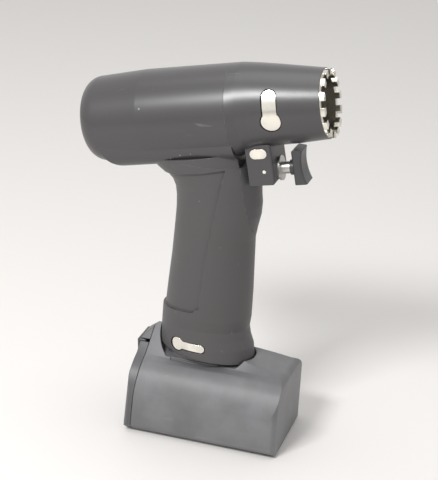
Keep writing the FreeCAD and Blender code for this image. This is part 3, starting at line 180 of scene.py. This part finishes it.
def makeScratches(look):
    group, given, result = newGroup(
        "scratches", {"Place": "Vector", "Scale": "Float", "Amount": "Float"}, {"Mask": "Float"})
    stretch = addNode(group, "ShaderNodeMapping")
    stretch.inputs["Rotation"].default_value = look["turn"]
    stretch.inputs["Scale"].default_value = look["stretch"]
    join(group, given["Place"], stretch.inputs["Vector"])
    streaks = noise(group, stretch.outputs[0], given["Scale"], look["streakDetail"],
                    look["noiseRough"])
    patches = noise(group, given["Place"], look["patchScale"], look["patchDetail"],
                    look["noiseRough"])
    both = mathNode(group, "MULTIPLY", ramp(group, streaks, *look["thin"]),
                    ramp(group, patches, *look["patches"]))
    join(group, mathNode(group, "MULTIPLY", both, given["Amount"]), result["Mask"])
    return group


wearLook = {"samples": 4, "patchScale": 260, "patchDetail": 5, "noiseRough": 0.5,
            "edge": (0.03, 0.16), "patches": (0.42, 0.62)}


def makeEdgeWear(look):
    group, given, result = newGroup(
        "edgeWear", {"Place": "Vector", "Radius": "Float", "Amount": "Float"},
        {"Mask": "Float", "Normal": "Vector"})
    soft = addNode(group, "ShaderNodeBevel", samples=look["samples"])
    join(group, given["Radius"], soft.inputs["Radius"])
    plain = addNode(group, "ShaderNodeNewGeometry")
    near = addNode(group, "ShaderNodeVectorMath", operation="DOT_PRODUCT")
    join(group, soft.outputs[0], near.inputs[0])
    join(group, plain.outputs["Normal"], near.inputs[1])
    worn = mathNode(group, "SUBTRACT", 1.0, near.outputs["Value"])
    patches = noise(group, given["Place"], look["patchScale"], look["patchDetail"],
                    look["noiseRough"])
    both = mathNode(group, "MULTIPLY", ramp(group, worn, *look["edge"]),
                    ramp(group, patches, *look["patches"]))
    join(group, mathNode(group, "MULTIPLY", both, given["Amount"]), result["Mask"])
    join(group, soft.outputs[0], result["Normal"])
    return group


specksGroup = makeSpecks()
scratchGroup = makeScratches(scratchLook)
wearGroup = makeEdgeWear(wearLook)


def useGroup(tree, group, place, **values):
    node = addNode(tree, "ShaderNodeGroup", node_tree=group)
    join(tree, place, node.inputs["Place"])
    for key, value in values.items():
        node.inputs[key].default_value = value
    return node.outputs


def strongest(tree, *groups):
    mask = groups[0]["Mask"]
    for outputs in groups[1:]:
        mask = mathNode(tree, "MAXIMUM", mask, outputs["Mask"])
    return mask


def addBump(tree, principled, height, strength, distance, normal):
    bump = addNode(tree, "ShaderNodeBump")
    bump.inputs["Strength"].default_value = strength
    bump.inputs["Distance"].default_value = distance
    join(tree, height, bump.inputs["Height"])
    join(tree, normal, bump.inputs["Normal"])
    join(tree, bump.outputs[0], principled.inputs["Normal"])


def cloudyRoughness(tree, principled, rough, cloud, spread):
    join(tree, mathNode(tree, "ADD", rough, mathNode(tree, "MULTIPLY", cloud, spread)),
         principled.inputs["Roughness"])


# black hard coat: glossy round the barrel's axis and satin on the grip
coatLook = {
    "gloss": (0.048, 0.045, 0.047), "satin": (0.058, 0.054, 0.056), "worn": (0.34, 0.33, 0.32),
    "glossRough": 0.27, "satinRough": 0.40, "roughSpread": 0.10, "ior": 1.6,
    "handleReach": (0.0231, 0.0282), "cloudTone": (0.055, 0.053, 0.055), "cloud": (25, 5),
    "cloudRange": (0.35, 0.75), "cloudAmount": 0.35, "markAmount": 0.6,
    "edges": {"Radius": 0.0004, "Amount": 0.55},
    "specks": {"Scale": 190.0, "Size": 0.10, "Share": 0.07},
    "scratches": {"Scale": 45.0, "Amount": 0.35}, "grain": (1800, 2), "bump": (0.12, 0.0002),
}
frameLook = dict(coatLook, gloss=(0.046, 0.044, 0.047), satin=(0.046, 0.044, 0.047),
                 glossRough=0.36)


def axisDistance(tree, place):
    offset = addNode(tree, "ShaderNodeVectorMath", operation="SUBTRACT")
    join(tree, place, offset.inputs[0])
    offset.inputs[1].default_value = seamPoint
    across = addNode(tree, "ShaderNodeVectorMath", operation="CROSS_PRODUCT")
    join(tree, offset.outputs[0], across.inputs[0])
    across.inputs[1].default_value = alongBarrel
    reach = addNode(tree, "ShaderNodeVectorMath", operation="LENGTH")
    join(tree, across.outputs[0], reach.inputs[0])
    return reach.outputs["Value"]


def hardCoat(name, look):
    material, tree, principled = newMaterial(name)
    place = objectPlace(tree)
    wear = useGroup(tree, wearGroup, place, **look["edges"])
    specks = useGroup(tree, specksGroup, place, **look["specks"])
    scratches = useGroup(tree, scratchGroup, place, **look["scratches"])
    cloud = noise(tree, place, *look["cloud"])
    grain = noise(tree, place, *look["grain"])
    handle = ramp(tree, axisDistance(tree, place), *look["handleReach"])
    base = mixColor(tree, handle, look["gloss"], look["satin"])
    cloudy = mathNode(tree, "MULTIPLY", ramp(tree, cloud, *look["cloudRange"]), look["cloudAmount"])
    base = mixColor(tree, cloudy, base, look["cloudTone"])
    marks = mathNode(tree, "MULTIPLY", strongest(tree, specks, scratches, wear), look["markAmount"])
    join(tree, mixColor(tree, marks, base, look["worn"]), principled.inputs["Base Color"])
    rough = mixValue(tree, handle, look["glossRough"], look["satinRough"])
    cloudyRoughness(tree, principled, rough, cloud, look["roughSpread"])
    principled.inputs["IOR"].default_value = look["ior"]
    addBump(tree, principled, mathNode(tree, "MULTIPLY", grain, handle), *look["bump"],
            wear["Normal"])
    return material


# bright steel with fine turning marks
steelLook = {
    "edges": {"Radius": 0.00025, "Amount": 0.3}, "cloud": (120, 4), "cloudRange": (0.3, 0.75),
    "fine": (2600, 2), "shade": 0.8, "worn": (0.9, 0.88, 0.84), "roughSpread": 0.14,
    "bump": (0.06, 0.0001),
}


def steelMaterial(name, color, rough):
    look = steelLook
    material, tree, principled = newMaterial(name)
    place = objectPlace(tree)
    wear = useGroup(tree, wearGroup, place, **look["edges"])
    cloud = noise(tree, place, *look["cloud"])
    fine = noise(tree, place, *look["fine"])
    tone = mixColor(tree, ramp(tree, cloud, *look["cloudRange"]), color,
                    tuple(look["shade"] * c for c in color))
    join(tree, mixColor(tree, wear["Mask"], tone, look["worn"]), principled.inputs["Base Color"])
    principled.inputs["Metallic"].default_value = 1
    cloudyRoughness(tree, principled, rough - look["roughSpread"] / 2, cloud, look["roughSpread"])
    addBump(tree, principled, fine, *look["bump"], wear["Normal"])
    return material


# moulded plastic with a fine texture, scuffed along its edges
plasticLook = {
    "edges": {"Radius": 0.0006, "Amount": 0.8},
    "specks": {"Scale": 240.0, "Size": 0.09, "Share": 0.06},
    "scratches": {"Scale": 38.0, "Amount": 0.5}, "cloud": (30, 6, 0.6), "cloudRange": (0.35, 0.7),
    "dark": 0.82, "light": 1.15, "worn": (0.22, 0.22, 0.22), "markAmount": 0.6,
    "roughSpread": 0.12, "grainDetail": 3, "bumpDistance": 0.00012,
}


def plasticMaterial(name, color, rough, grainScale=1500, grainDepth=0.35):
    look = plasticLook
    material, tree, principled = newMaterial(name)
    place = objectPlace(tree)
    wear = useGroup(tree, wearGroup, place, **look["edges"])
    specks = useGroup(tree, specksGroup, place, **look["specks"])
    scratches = useGroup(tree, scratchGroup, place, **look["scratches"])
    cloud = noise(tree, place, *look["cloud"])
    grain = noise(tree, place, grainScale, look["grainDetail"])
    tone = mixColor(tree, ramp(tree, cloud, *look["cloudRange"]),
                    tuple(look["dark"] * c for c in color), tuple(look["light"] * c for c in color))
    marks = mathNode(tree, "MULTIPLY", strongest(tree, wear, specks, scratches), look["markAmount"])
    join(tree, mixColor(tree, marks, tone, look["worn"]), principled.inputs["Base Color"])
    cloudyRoughness(tree, principled, rough - look["roughSpread"] / 2, cloud, look["roughSpread"])
    addBump(tree, principled, grain, grainDepth, look["bumpDistance"], wear["Normal"])
    return material


materials = {
    "blackCoat": hardCoat("blackCoat", coatLook),
    "frameCoat": hardCoat("frameCoat", frameLook),
    "polishedSteel": steelMaterial("polishedSteel", (0.80, 0.77, 0.70), 0.2),
    "plainSteel": steelMaterial("plainSteel", (0.55, 0.54, 0.52), 0.32),
    "springSteel": steelMaterial("springSteel", (0.40, 0.40, 0.41), 0.28),
    "magnetSteel": steelMaterial("magnetSteel", (0.30, 0.30, 0.31), 0.3),
    "machinedAluminium": steelMaterial("machinedAluminium", (0.66, 0.66, 0.67), 0.35),
    "copperWinding": steelMaterial("copperWinding", (0.72, 0.36, 0.20), 0.35),
    "goldContact": steelMaterial("goldContact", (0.85, 0.62, 0.28), 0.25),
    "sealRubber": plasticMaterial("sealRubber", (0.02, 0.02, 0.02), 0.6, 900, 0.2),
    "insulator": plasticMaterial("insulator", (0.05, 0.05, 0.052), 0.5),
    "circuitBoard": plasticMaterial("circuitBoard", (0.02, 0.12, 0.05), 0.4, 700, 0.2),
    "batteryGrey": plasticMaterial("batteryGrey", (0.165, 0.165, 0.172), 0.47),
    "capGrey": plasticMaterial("capGrey", (0.10, 0.10, 0.106), 0.42),
    "latchPlastic": plasticMaterial("latchPlastic", (0.05, 0.05, 0.054), 0.36, 1200, 0.1),
    "cellWrap": plasticMaterial("cellWrap", (0.03, 0.10, 0.35), 0.3, 900, 0.1),
}
nodeLooks = {
    "blackCoat": ["grip_housing", "nose_housing"],
    "frameCoat": ["trigger_frame"],
    "polishedSteel": ["bush_set_screw", "selector_button", "coupling_ring", "nose_lever_near",
                      "nose_lever_far", "battery_lever_near", "battery_lever_far"],
    "plainSteel": ["trigger_bush", "trigger_shaft", "attachment_seat", "nose_lever_pins",
                   "battery_lever_pins", "motor_can", "rotor_bearing_rear", "rotor_bearing_front",
                   "motor_shaft", "sun_gear", "planet_gear_1", "planet_gear_2", "planet_gear_3",
                   "ring_gear", "planet_carrier", "planet_pins", "output_spindle",
                   "spindle_bearing", "drive_coupling", "cap_screws"],
    "springSteel": ["trigger_spring"],
    "magnetSteel": ["trigger_magnet", "rotor_magnet"],
    "machinedAluminium": ["motor_rear_bell", "motor_front_plate", "spindle_plate"],
    "copperWinding": ["motor_stator"],
    "goldContact": ["contact_pins", "battery_contacts"],
    "sealRubber": ["shaft_seal"],
    "insulator": ["contact_block"],
    "circuitBoard": ["control_board", "battery_board"],
    "batteryGrey": ["battery_case", "battery_tower"],
    "capGrey": ["battery_cap"],
    "latchPlastic": ["battery_latch_button", "trigger_pad"],
    "cellWrap": ["battery_cell_near", "battery_cell_far", "battery_cell_top"],
}
for look, names in nodeLooks.items():
    for name in names:
        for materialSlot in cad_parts[name].material_slots:
            materialSlot.material = materials[look]
print("materials on CAD nodes done")


# small helpers for modelling, all lengths in millimetres
modelling = {"weld": 0.002, "smoothAngle": 32, "ovalSides": 96}


def activate(item):
    bpy.ops.object.select_all(action="DESELECT")
    item.select_set(True)
    bpy.context.view_layer.objects.active = item


def tidyMesh(item):
    activate(item)
    bpy.ops.object.mode_set(mode="EDIT")
    bpy.ops.mesh.select_all(action="SELECT")
    bpy.ops.mesh.remove_doubles(threshold=modelling["weld"] * mm)
    bpy.ops.mesh.select_all(action="SELECT")
    bpy.ops.mesh.normals_make_consistent(inside=False)
    bpy.ops.object.mode_set(mode="OBJECT")


def namePiece(name, size):
    item = bpy.context.object
    item.name = name
    item.scale = [length * mm for length in size]
    bpy.ops.object.transform_apply(location=True, rotation=True, scale=True)
    return item


def addBox(name, low, high):
    bpy.ops.object.select_all(action="DESELECT")
    centre = [(a + b) / 2 * mm for a, b in zip(low, high)]
    bpy.ops.mesh.primitive_cube_add(size=1, location=centre)
    return namePiece(name, [b - a for a, b in zip(low, high)])


def addOval(name, centreX, halfLength, halfWidth, low, high):
    bpy.ops.object.select_all(action="DESELECT")
    bpy.ops.mesh.primitive_cylinder_add(vertices=modelling["ovalSides"], radius=1, depth=1,
                                        location=(centreX * mm, 0, (low + high) / 2 * mm))
    return namePiece(name, (halfLength, halfWidth, high - low))


def sliceOff(item, point, outward):
    activate(item)
    bpy.ops.object.mode_set(mode="EDIT")
    bpy.ops.mesh.select_all(action="SELECT")
    bpy.ops.mesh.bisect(plane_co=[c * mm for c in point], plane_no=outward, use_fill=True,
                        clear_outer=True)
    bpy.ops.object.mode_set(mode="OBJECT")


def sliceRound(item, centreX, centreZ, radius, angles):
    for angle in angles:
        turn = math.radians(angle)
        sliceOff(item, (centreX + radius * math.cos(turn), 0, centreZ + radius * math.sin(turn)),
                 (math.cos(turn), 0, math.sin(turn)))


def bevelEdges(item, chosen, offset, segments):
    activate(item)
    bpy.ops.object.mode_set(mode="EDIT")
    bpy.ops.mesh.select_all(action="DESELECT")
    bpy.ops.mesh.select_mode(type="EDGE")
    bpy.ops.object.mode_set(mode="OBJECT")
    points = item.data.vertices
    for edge in item.data.edges:
        edge.select = chosen(*(points[index].co / mm for index in edge.vertices))
    bpy.ops.object.mode_set(mode="EDIT")
    bpy.ops.mesh.bevel(offset=offset * mm, segments=segments, affect="EDGES")
    bpy.ops.object.mode_set(mode="OBJECT")


def copyOf(item, name):
    activate(item)
    bpy.ops.object.duplicate()
    twin = bpy.context.object
    twin.name = name
    return twin


def combine(item, tool, operation):
    tidyMesh(tool)
    tidyMesh(item)
    modifier = item.modifiers.new(operation.lower(), "BOOLEAN")
    modifier.operation = operation
    modifier.solver = "EXACT"
    modifier.object = tool
    bpy.ops.object.modifier_apply(modifier=modifier.name)
    bpy.data.objects.remove(tool)


def softenEdges(item, width, segments, angle):
    activate(item)
    modifier = item.modifiers.new("softEdges", "BEVEL")
    modifier.width = width * mm
    modifier.segments = segments
    modifier.limit_method = "ANGLE"
    modifier.angle_limit = math.radians(angle)
    bpy.ops.object.modifier_apply(modifier=modifier.name)


def finishPiece(item, material, body, nodes=()):
    activate(item)
    bpy.ops.object.shade_smooth_by_angle(angle=math.radians(modelling["smoothAngle"]))
    item.data.materials.clear()
    item.data.materials.append(materials[material])
    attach(item, body)
    if nodes:
        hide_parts(*nodes)


# battery: one moulded form, parted into case and cap along a plane that leans with its rear
battery = {
    "rear": -43.4, "front": 40.3, "lean": 3.6, "footHalf": 22.9, "bellyHalf": 27.9, "bellyZ": 14.0,
    "shoulderHalf": 13.7, "shoulderZ": 40.3, "sideRadius": 24.0, "sideSteps": 8,
    "blankRear": -46.0, "spineBlank": (30.0, 58.0), "spineTop": (6.0, 57.5),
    "chamfer": ((-40.5, 47.0), (-33.4, 54.2)),
    "browRadius": 4.3, "browAngles": (15, 35, 55, 75),
    "heelRadius": 5.0, "heelIn": 0.3, "heelAngles": (195, 215, 235, 255),
    "corner": (5.0, 6), "cornerLength": 20.0, "toe": (1.6, 3), "onFloor": 0.01,
    "socketX": -5.9, "socketHalfLength": 26.1, "socketHalfWidth": 18.6,
    "socketHeights": (41.0, 70.0),
    "scoop": ((13.0, 43.0), (-3.0, 38.9), (-22.0, 39.9), (-28.5, 53.5)),
    "scoopHalves": (12.6, 40.0), "scoopHeights": (36.0, 62.0),
    "capThickness": 4.7, "jointGap": 0.25,
    "wall": 2.2, "roomTop": 37.3, "roomEnds": (-35.5, 37.0),
    "screwAcross": 17.0, "screwHeight": 7.5, "screwRadius": 2.0, "screwDepth": 12.0,
    "screwBehind": 3.2, "screwSides": 32,
}
leanTurn = math.radians(battery["lean"])
rearOutward = Vector((-math.cos(leanTurn), 0, math.sin(leanTurn)))


def rearFace(height, inward=0.0):
    return battery["rear"] + height * math.tan(leanTurn) + inward


def crossPlane(first, second):
    run, rise = second[0] - first[0], second[1] - first[1]
    return (first[0], 0, first[1]), Vector((-rise, 0, run)).normalized()


# the sides are an arc from belly to shoulder, cut as flat steps, and lean in towards the foot
def sliceSides(item, settings, inset=0.0):
    belly = Vector((settings["bellyHalf"], settings["bellyZ"]))
    shoulder = Vector((settings["shoulderHalf"], settings["shoulderZ"]))
    chord = shoulder - belly
    outward = Vector((chord.y, -chord.x)).normalized()
    middle = (belly + shoulder) / 2
    centre = middle - outward * math.sqrt(settings["sideRadius"] ** 2 - (chord.length / 2) ** 2)
    start = math.atan2(belly.y - centre.y, belly.x - centre.x)
    end = math.atan2(shoulder.y - centre.y, shoulder.x - centre.x)
    steps = settings["sideSteps"]
    for step in range(steps):
        angle = start + (end - start) * (step + 0.5) / steps
        reach = settings["sideRadius"] * math.cos((end - start) / steps / 2) - inset
        for side in (-1, 1):
            sliceOff(item, (0, side * (centre.x + reach * math.cos(angle)),
                            centre.y + reach * math.sin(angle)),
                     (0, side * math.cos(angle), math.sin(angle)))
    rise, run = settings["bellyZ"], settings["bellyHalf"] - settings["footHalf"]
    for side in (-1, 1):
        sliceOff(item, (0, side * (settings["footHalf"] - inset), 0), (0, side * rise, -run))


def sliceBrow(item, settings):
    radius = settings["browRadius"]
    sliceRound(item, settings["front"] - radius, settings["shoulderZ"] - radius, radius,
               settings["browAngles"])


def makeSpine(settings):
    half, shoulderZ = settings["shoulderHalf"], settings["shoulderZ"]
    low, high = settings["spineBlank"]
    spine = addBox("spineForm", (settings["blankRear"], -half, low),
                   (settings["front"], half, high))
    topHalf, topZ = settings["spineTop"]
    for side in (-1, 1):
        sliceOff(spine, (0, side * half, shoulderZ), (0, side * (topZ - shoulderZ), half - topHalf))
    low, high = settings["chamfer"]
    brow = (settings["front"], shoulderZ)
    sliceOff(spine, (brow[0], 0, brow[1]), crossPlane(high, brow)[1])
    sliceOff(spine, (low[0], 0, low[1]), (low[1] - high[1], 0, high[0] - low[0]))
    sliceBrow(spine, settings)
    sliceOff(spine, (settings["rear"], 0, 0), rearOutward)
    return spine


def makeBatteryForm(settings):
    form = addBox("batteryForm", (settings["blankRear"], -settings["bellyHalf"], 0),
                  (settings["front"], settings["bellyHalf"], settings["shoulderZ"]))
    sliceOff(form, (settings["rear"], 0, 0), rearOutward)
    bevelEdges(form, lambda a, b: abs(a.z - b.z) > settings["cornerLength"], *settings["corner"])
    sliceSides(form, settings)
    sliceBrow(form, settings)
    heel = settings["heelRadius"]
    sliceRound(form, settings["rear"] + heel + settings["heelIn"], heel, heel,
               settings["heelAngles"])
    bevelEdges(form, lambda a, b: max(abs(a.z), abs(b.z)) < settings["onFloor"], *settings["toe"])
    combine(form, makeSpine(settings), "UNION")
    return form


# what the grip's foot needs: an oval socket and a finger scoop on each side
def makeSocketTool(settings):
    tool = addOval("socketTool", settings["socketX"], settings["socketHalfLength"],
                   settings["socketHalfWidth"], *settings["socketHeights"])
    corners = settings["scoop"]
    low, high = settings["scoopHeights"]
    for side in (-1, 1):
        ends = sorted(side * half for half in settings["scoopHalves"])
        scoop = addBox("scoopTool", (corners[-1][0], ends[0], low), (corners[0][0], ends[1], high))
        for first, second in zip(corners, corners[1:]):
            sliceOff(scoop, *crossPlane(first, second))
        combine(tool, scoop, "UNION")
    return tool


def cutScrewHoles(cap, settings):
    height = settings["screwHeight"]
    for side in (-1, 1):
        bpy.ops.object.select_all(action="DESELECT")
        bpy.ops.mesh.primitive_cylinder_add(
            vertices=settings["screwSides"], radius=settings["screwRadius"] * mm,
            depth=settings["screwDepth"] * mm, rotation=(0, math.radians(90 + settings["lean"]), 0),
            location=(rearFace(height, -settings["screwBehind"]) * mm,
                      side * settings["screwAcross"] * mm, height * mm))
        hole = bpy.context.object
        bpy.ops.object.transform_apply(location=True, rotation=True, scale=True)
        combine(cap, hole, "DIFFERENCE")


def makeBattery(settings):
    case = makeBatteryForm(settings)
    combine(case, makeSocketTool(settings), "DIFFERENCE")
    cap = copyOf(case, "batteryCapShell")
    case.name = "batteryCaseShell"
    thickness = settings["capThickness"]
    sliceOff(case, (rearFace(0, thickness + settings["jointGap"]), 0, 0), rearOutward)
    sliceOff(cap, (rearFace(0, thickness), 0, 0), -rearOutward)
    low, high = settings["roomEnds"]
    room = addBox("cellRoom", (low, -settings["bellyHalf"], settings["wall"]),
                  (high, settings["bellyHalf"], settings["roomTop"]))
    sliceSides(room, settings, settings["wall"])
    combine(case, room, "DIFFERENCE")
    cutScrewHoles(cap, settings)
    return case, cap


# rear push button of the battery: a thumb wedge set in a window of the cap
latch = {
    "low": 31.0, "high": 46.0, "halfWidth": 8.5, "root": 2.8, "proudLow": 0.3, "proudHigh": 1.9,
    "faceEnd": 2.0, "softEdge": (0.9, 4, 35), "blank": (-50.0, -30.0),
    "play": 0.35, "windowBlank": (-60.0, -34.0),
}


def makeLatch(settings):
    low, high, half = settings["low"], settings["high"], settings["halfWidth"]
    rear, front = settings["blank"]
    item = addBox("latchWedge", (rear, -half, low), (front, half, high))
    sliceOff(item, (rearFace(0, settings["root"]), 0, 0), -rearOutward)
    faceTop = high - settings["faceEnd"]
    sliceOff(item, *crossPlane((rearFace(low) - settings["proudLow"], low),
                               (rearFace(faceTop) - settings["proudHigh"], faceTop)))
    softenEdges(item, *settings["softEdge"])
    tidyMesh(item)
    play = settings["play"]
    rear, front = settings["windowBlank"]
    window = addBox("latchWindow", (rear, -half - play, low - play),
                    (front, half + play, high + play))
    return item, window


caseShell, capShell = makeBattery(battery)
latchWedge, latchWindow = makeLatch(latch)
combine(capShell, latchWindow, "DIFFERENCE")
finishPiece(caseShell, "batteryGrey", "battery", ["battery_case"])
finishPiece(capShell, "capGrey", "battery", ["battery_cap"])
finishPiece(latchWedge, "latchPlastic", "battery_latch", ["battery_latch_button"])
print("battery pieces done")


# small fairing between the grip's sides and the belly, behind the seam and under the barrel
fairing = {"low": 149.9, "high": 172.0, "lowOval": (-16.5, 30.4, 17.95), "topGrowth": 1.085,
           "topBand": 1.0, "behindSeam": 0.1, "underAxis": 19.4}


def makeFairing(settings):
    centre, halfLength, halfWidth = settings["lowOval"]
    high = settings["high"]
    item = addOval("bellyFairing", centre, halfLength, halfWidth, settings["low"], high)
    activate(item)
    bpy.ops.object.mode_set(mode="EDIT")
    bpy.ops.mesh.select_all(action="DESELECT")
    bpy.ops.mesh.select_mode(type="VERT")
    bpy.ops.object.mode_set(mode="OBJECT")
    for point in item.data.vertices:
        point.select = point.co.z > (high - settings["topBand"]) * mm
    bpy.ops.object.mode_set(mode="EDIT")
    bpy.ops.transform.resize(value=(1.0, settings["topGrowth"], 1.0),
                             center_override=(centre * mm, 0, high * mm))
    bpy.ops.object.mode_set(mode="OBJECT")
    seam = seamPoint / mm
    sliceOff(item, seam - alongBarrel * settings["behindSeam"], alongBarrel)
    sliceOff(item, seam - aboveBarrel * settings["underAxis"], aboveBarrel)
    tidyMesh(item)
    return item


finishPiece(makeFairing(fairing), "blackCoat", "handpiece")
print("fairing done")


# pale floor and soft studio light
studio = {
    "floorColor": (0.86, 0.84, 0.82), "floorRough": 0.6, "floorSize": 6, "floorDrop": 0.0002,
    "skyColor": (1, 0.99, 0.98), "skyStrength": 0.52, "skySeen": 1.0,
}


def makeFloor(settings):
    bpy.ops.object.select_all(action="DESELECT")
    bpy.ops.mesh.primitive_plane_add(size=settings["floorSize"],
                                     location=(0, 0, -settings["floorDrop"]))
    floor = bpy.context.object
    floor.name = "floor"
    bpy.ops.object.transform_apply(location=True, rotation=True, scale=True)
    material, tree, principled = newMaterial("floorPaper")
    principled.inputs["Base Color"].default_value = (*settings["floorColor"], 1)
    principled.inputs["Roughness"].default_value = settings["floorRough"]
    floor.data.materials.append(material)


def makeSky(settings):
    world = bpy.data.worlds.new("studioSky")
    bpy.context.scene.world = world
    world.use_nodes = True
    tree = world.node_tree
    background = tree.nodes["Background"]
    path = addNode(tree, "ShaderNodeLightPath")
    seen = mathNode(tree, "MAXIMUM", path.outputs["Is Camera Ray"], path.outputs["Is Glossy Ray"])
    seen = mathNode(tree, "MAXIMUM", seen, path.outputs["Is Transmission Ray"])
    strength = mixValue(tree, seen, settings["skyStrength"], settings["skySeen"])
    join(tree, strength, background.inputs["Strength"])
    background.inputs["Color"].default_value = (*settings["skyColor"], 1)


lamps = {
    "key": {"place": (-0.25, -0.71, 0.83), "aim": (0, 0, 0.17), "size": (0.3, 0.2), "power": 8.0},
    "overhead": {"place": (-0.1, 0.1, 1.1), "aim": (0, 0, 0.15), "size": (0.7, 0.7), "power": 2.6},
}


def makeLamps(settings):
    for name, lamp in settings.items():
        data = bpy.data.lights.new(name, "AREA")
        data.shape = "RECTANGLE"
        data.size, data.size_y = lamp["size"]
        data.energy = lamp["power"]
        item = bpy.data.objects.new(name, data)
        aim = Vector(lamp["aim"]) - Vector(lamp["place"])
        item.rotation_euler = aim.to_track_quat("-Z", "Y").to_euler()
        item.location = lamp["place"]
        bpy.context.scene.collection.objects.link(item)


makeFloor(studio)
makeSky(studio)
makeLamps(lamps)
bpy.context.scene.view_settings.view_transform = "Standard"
print("stage and light done")
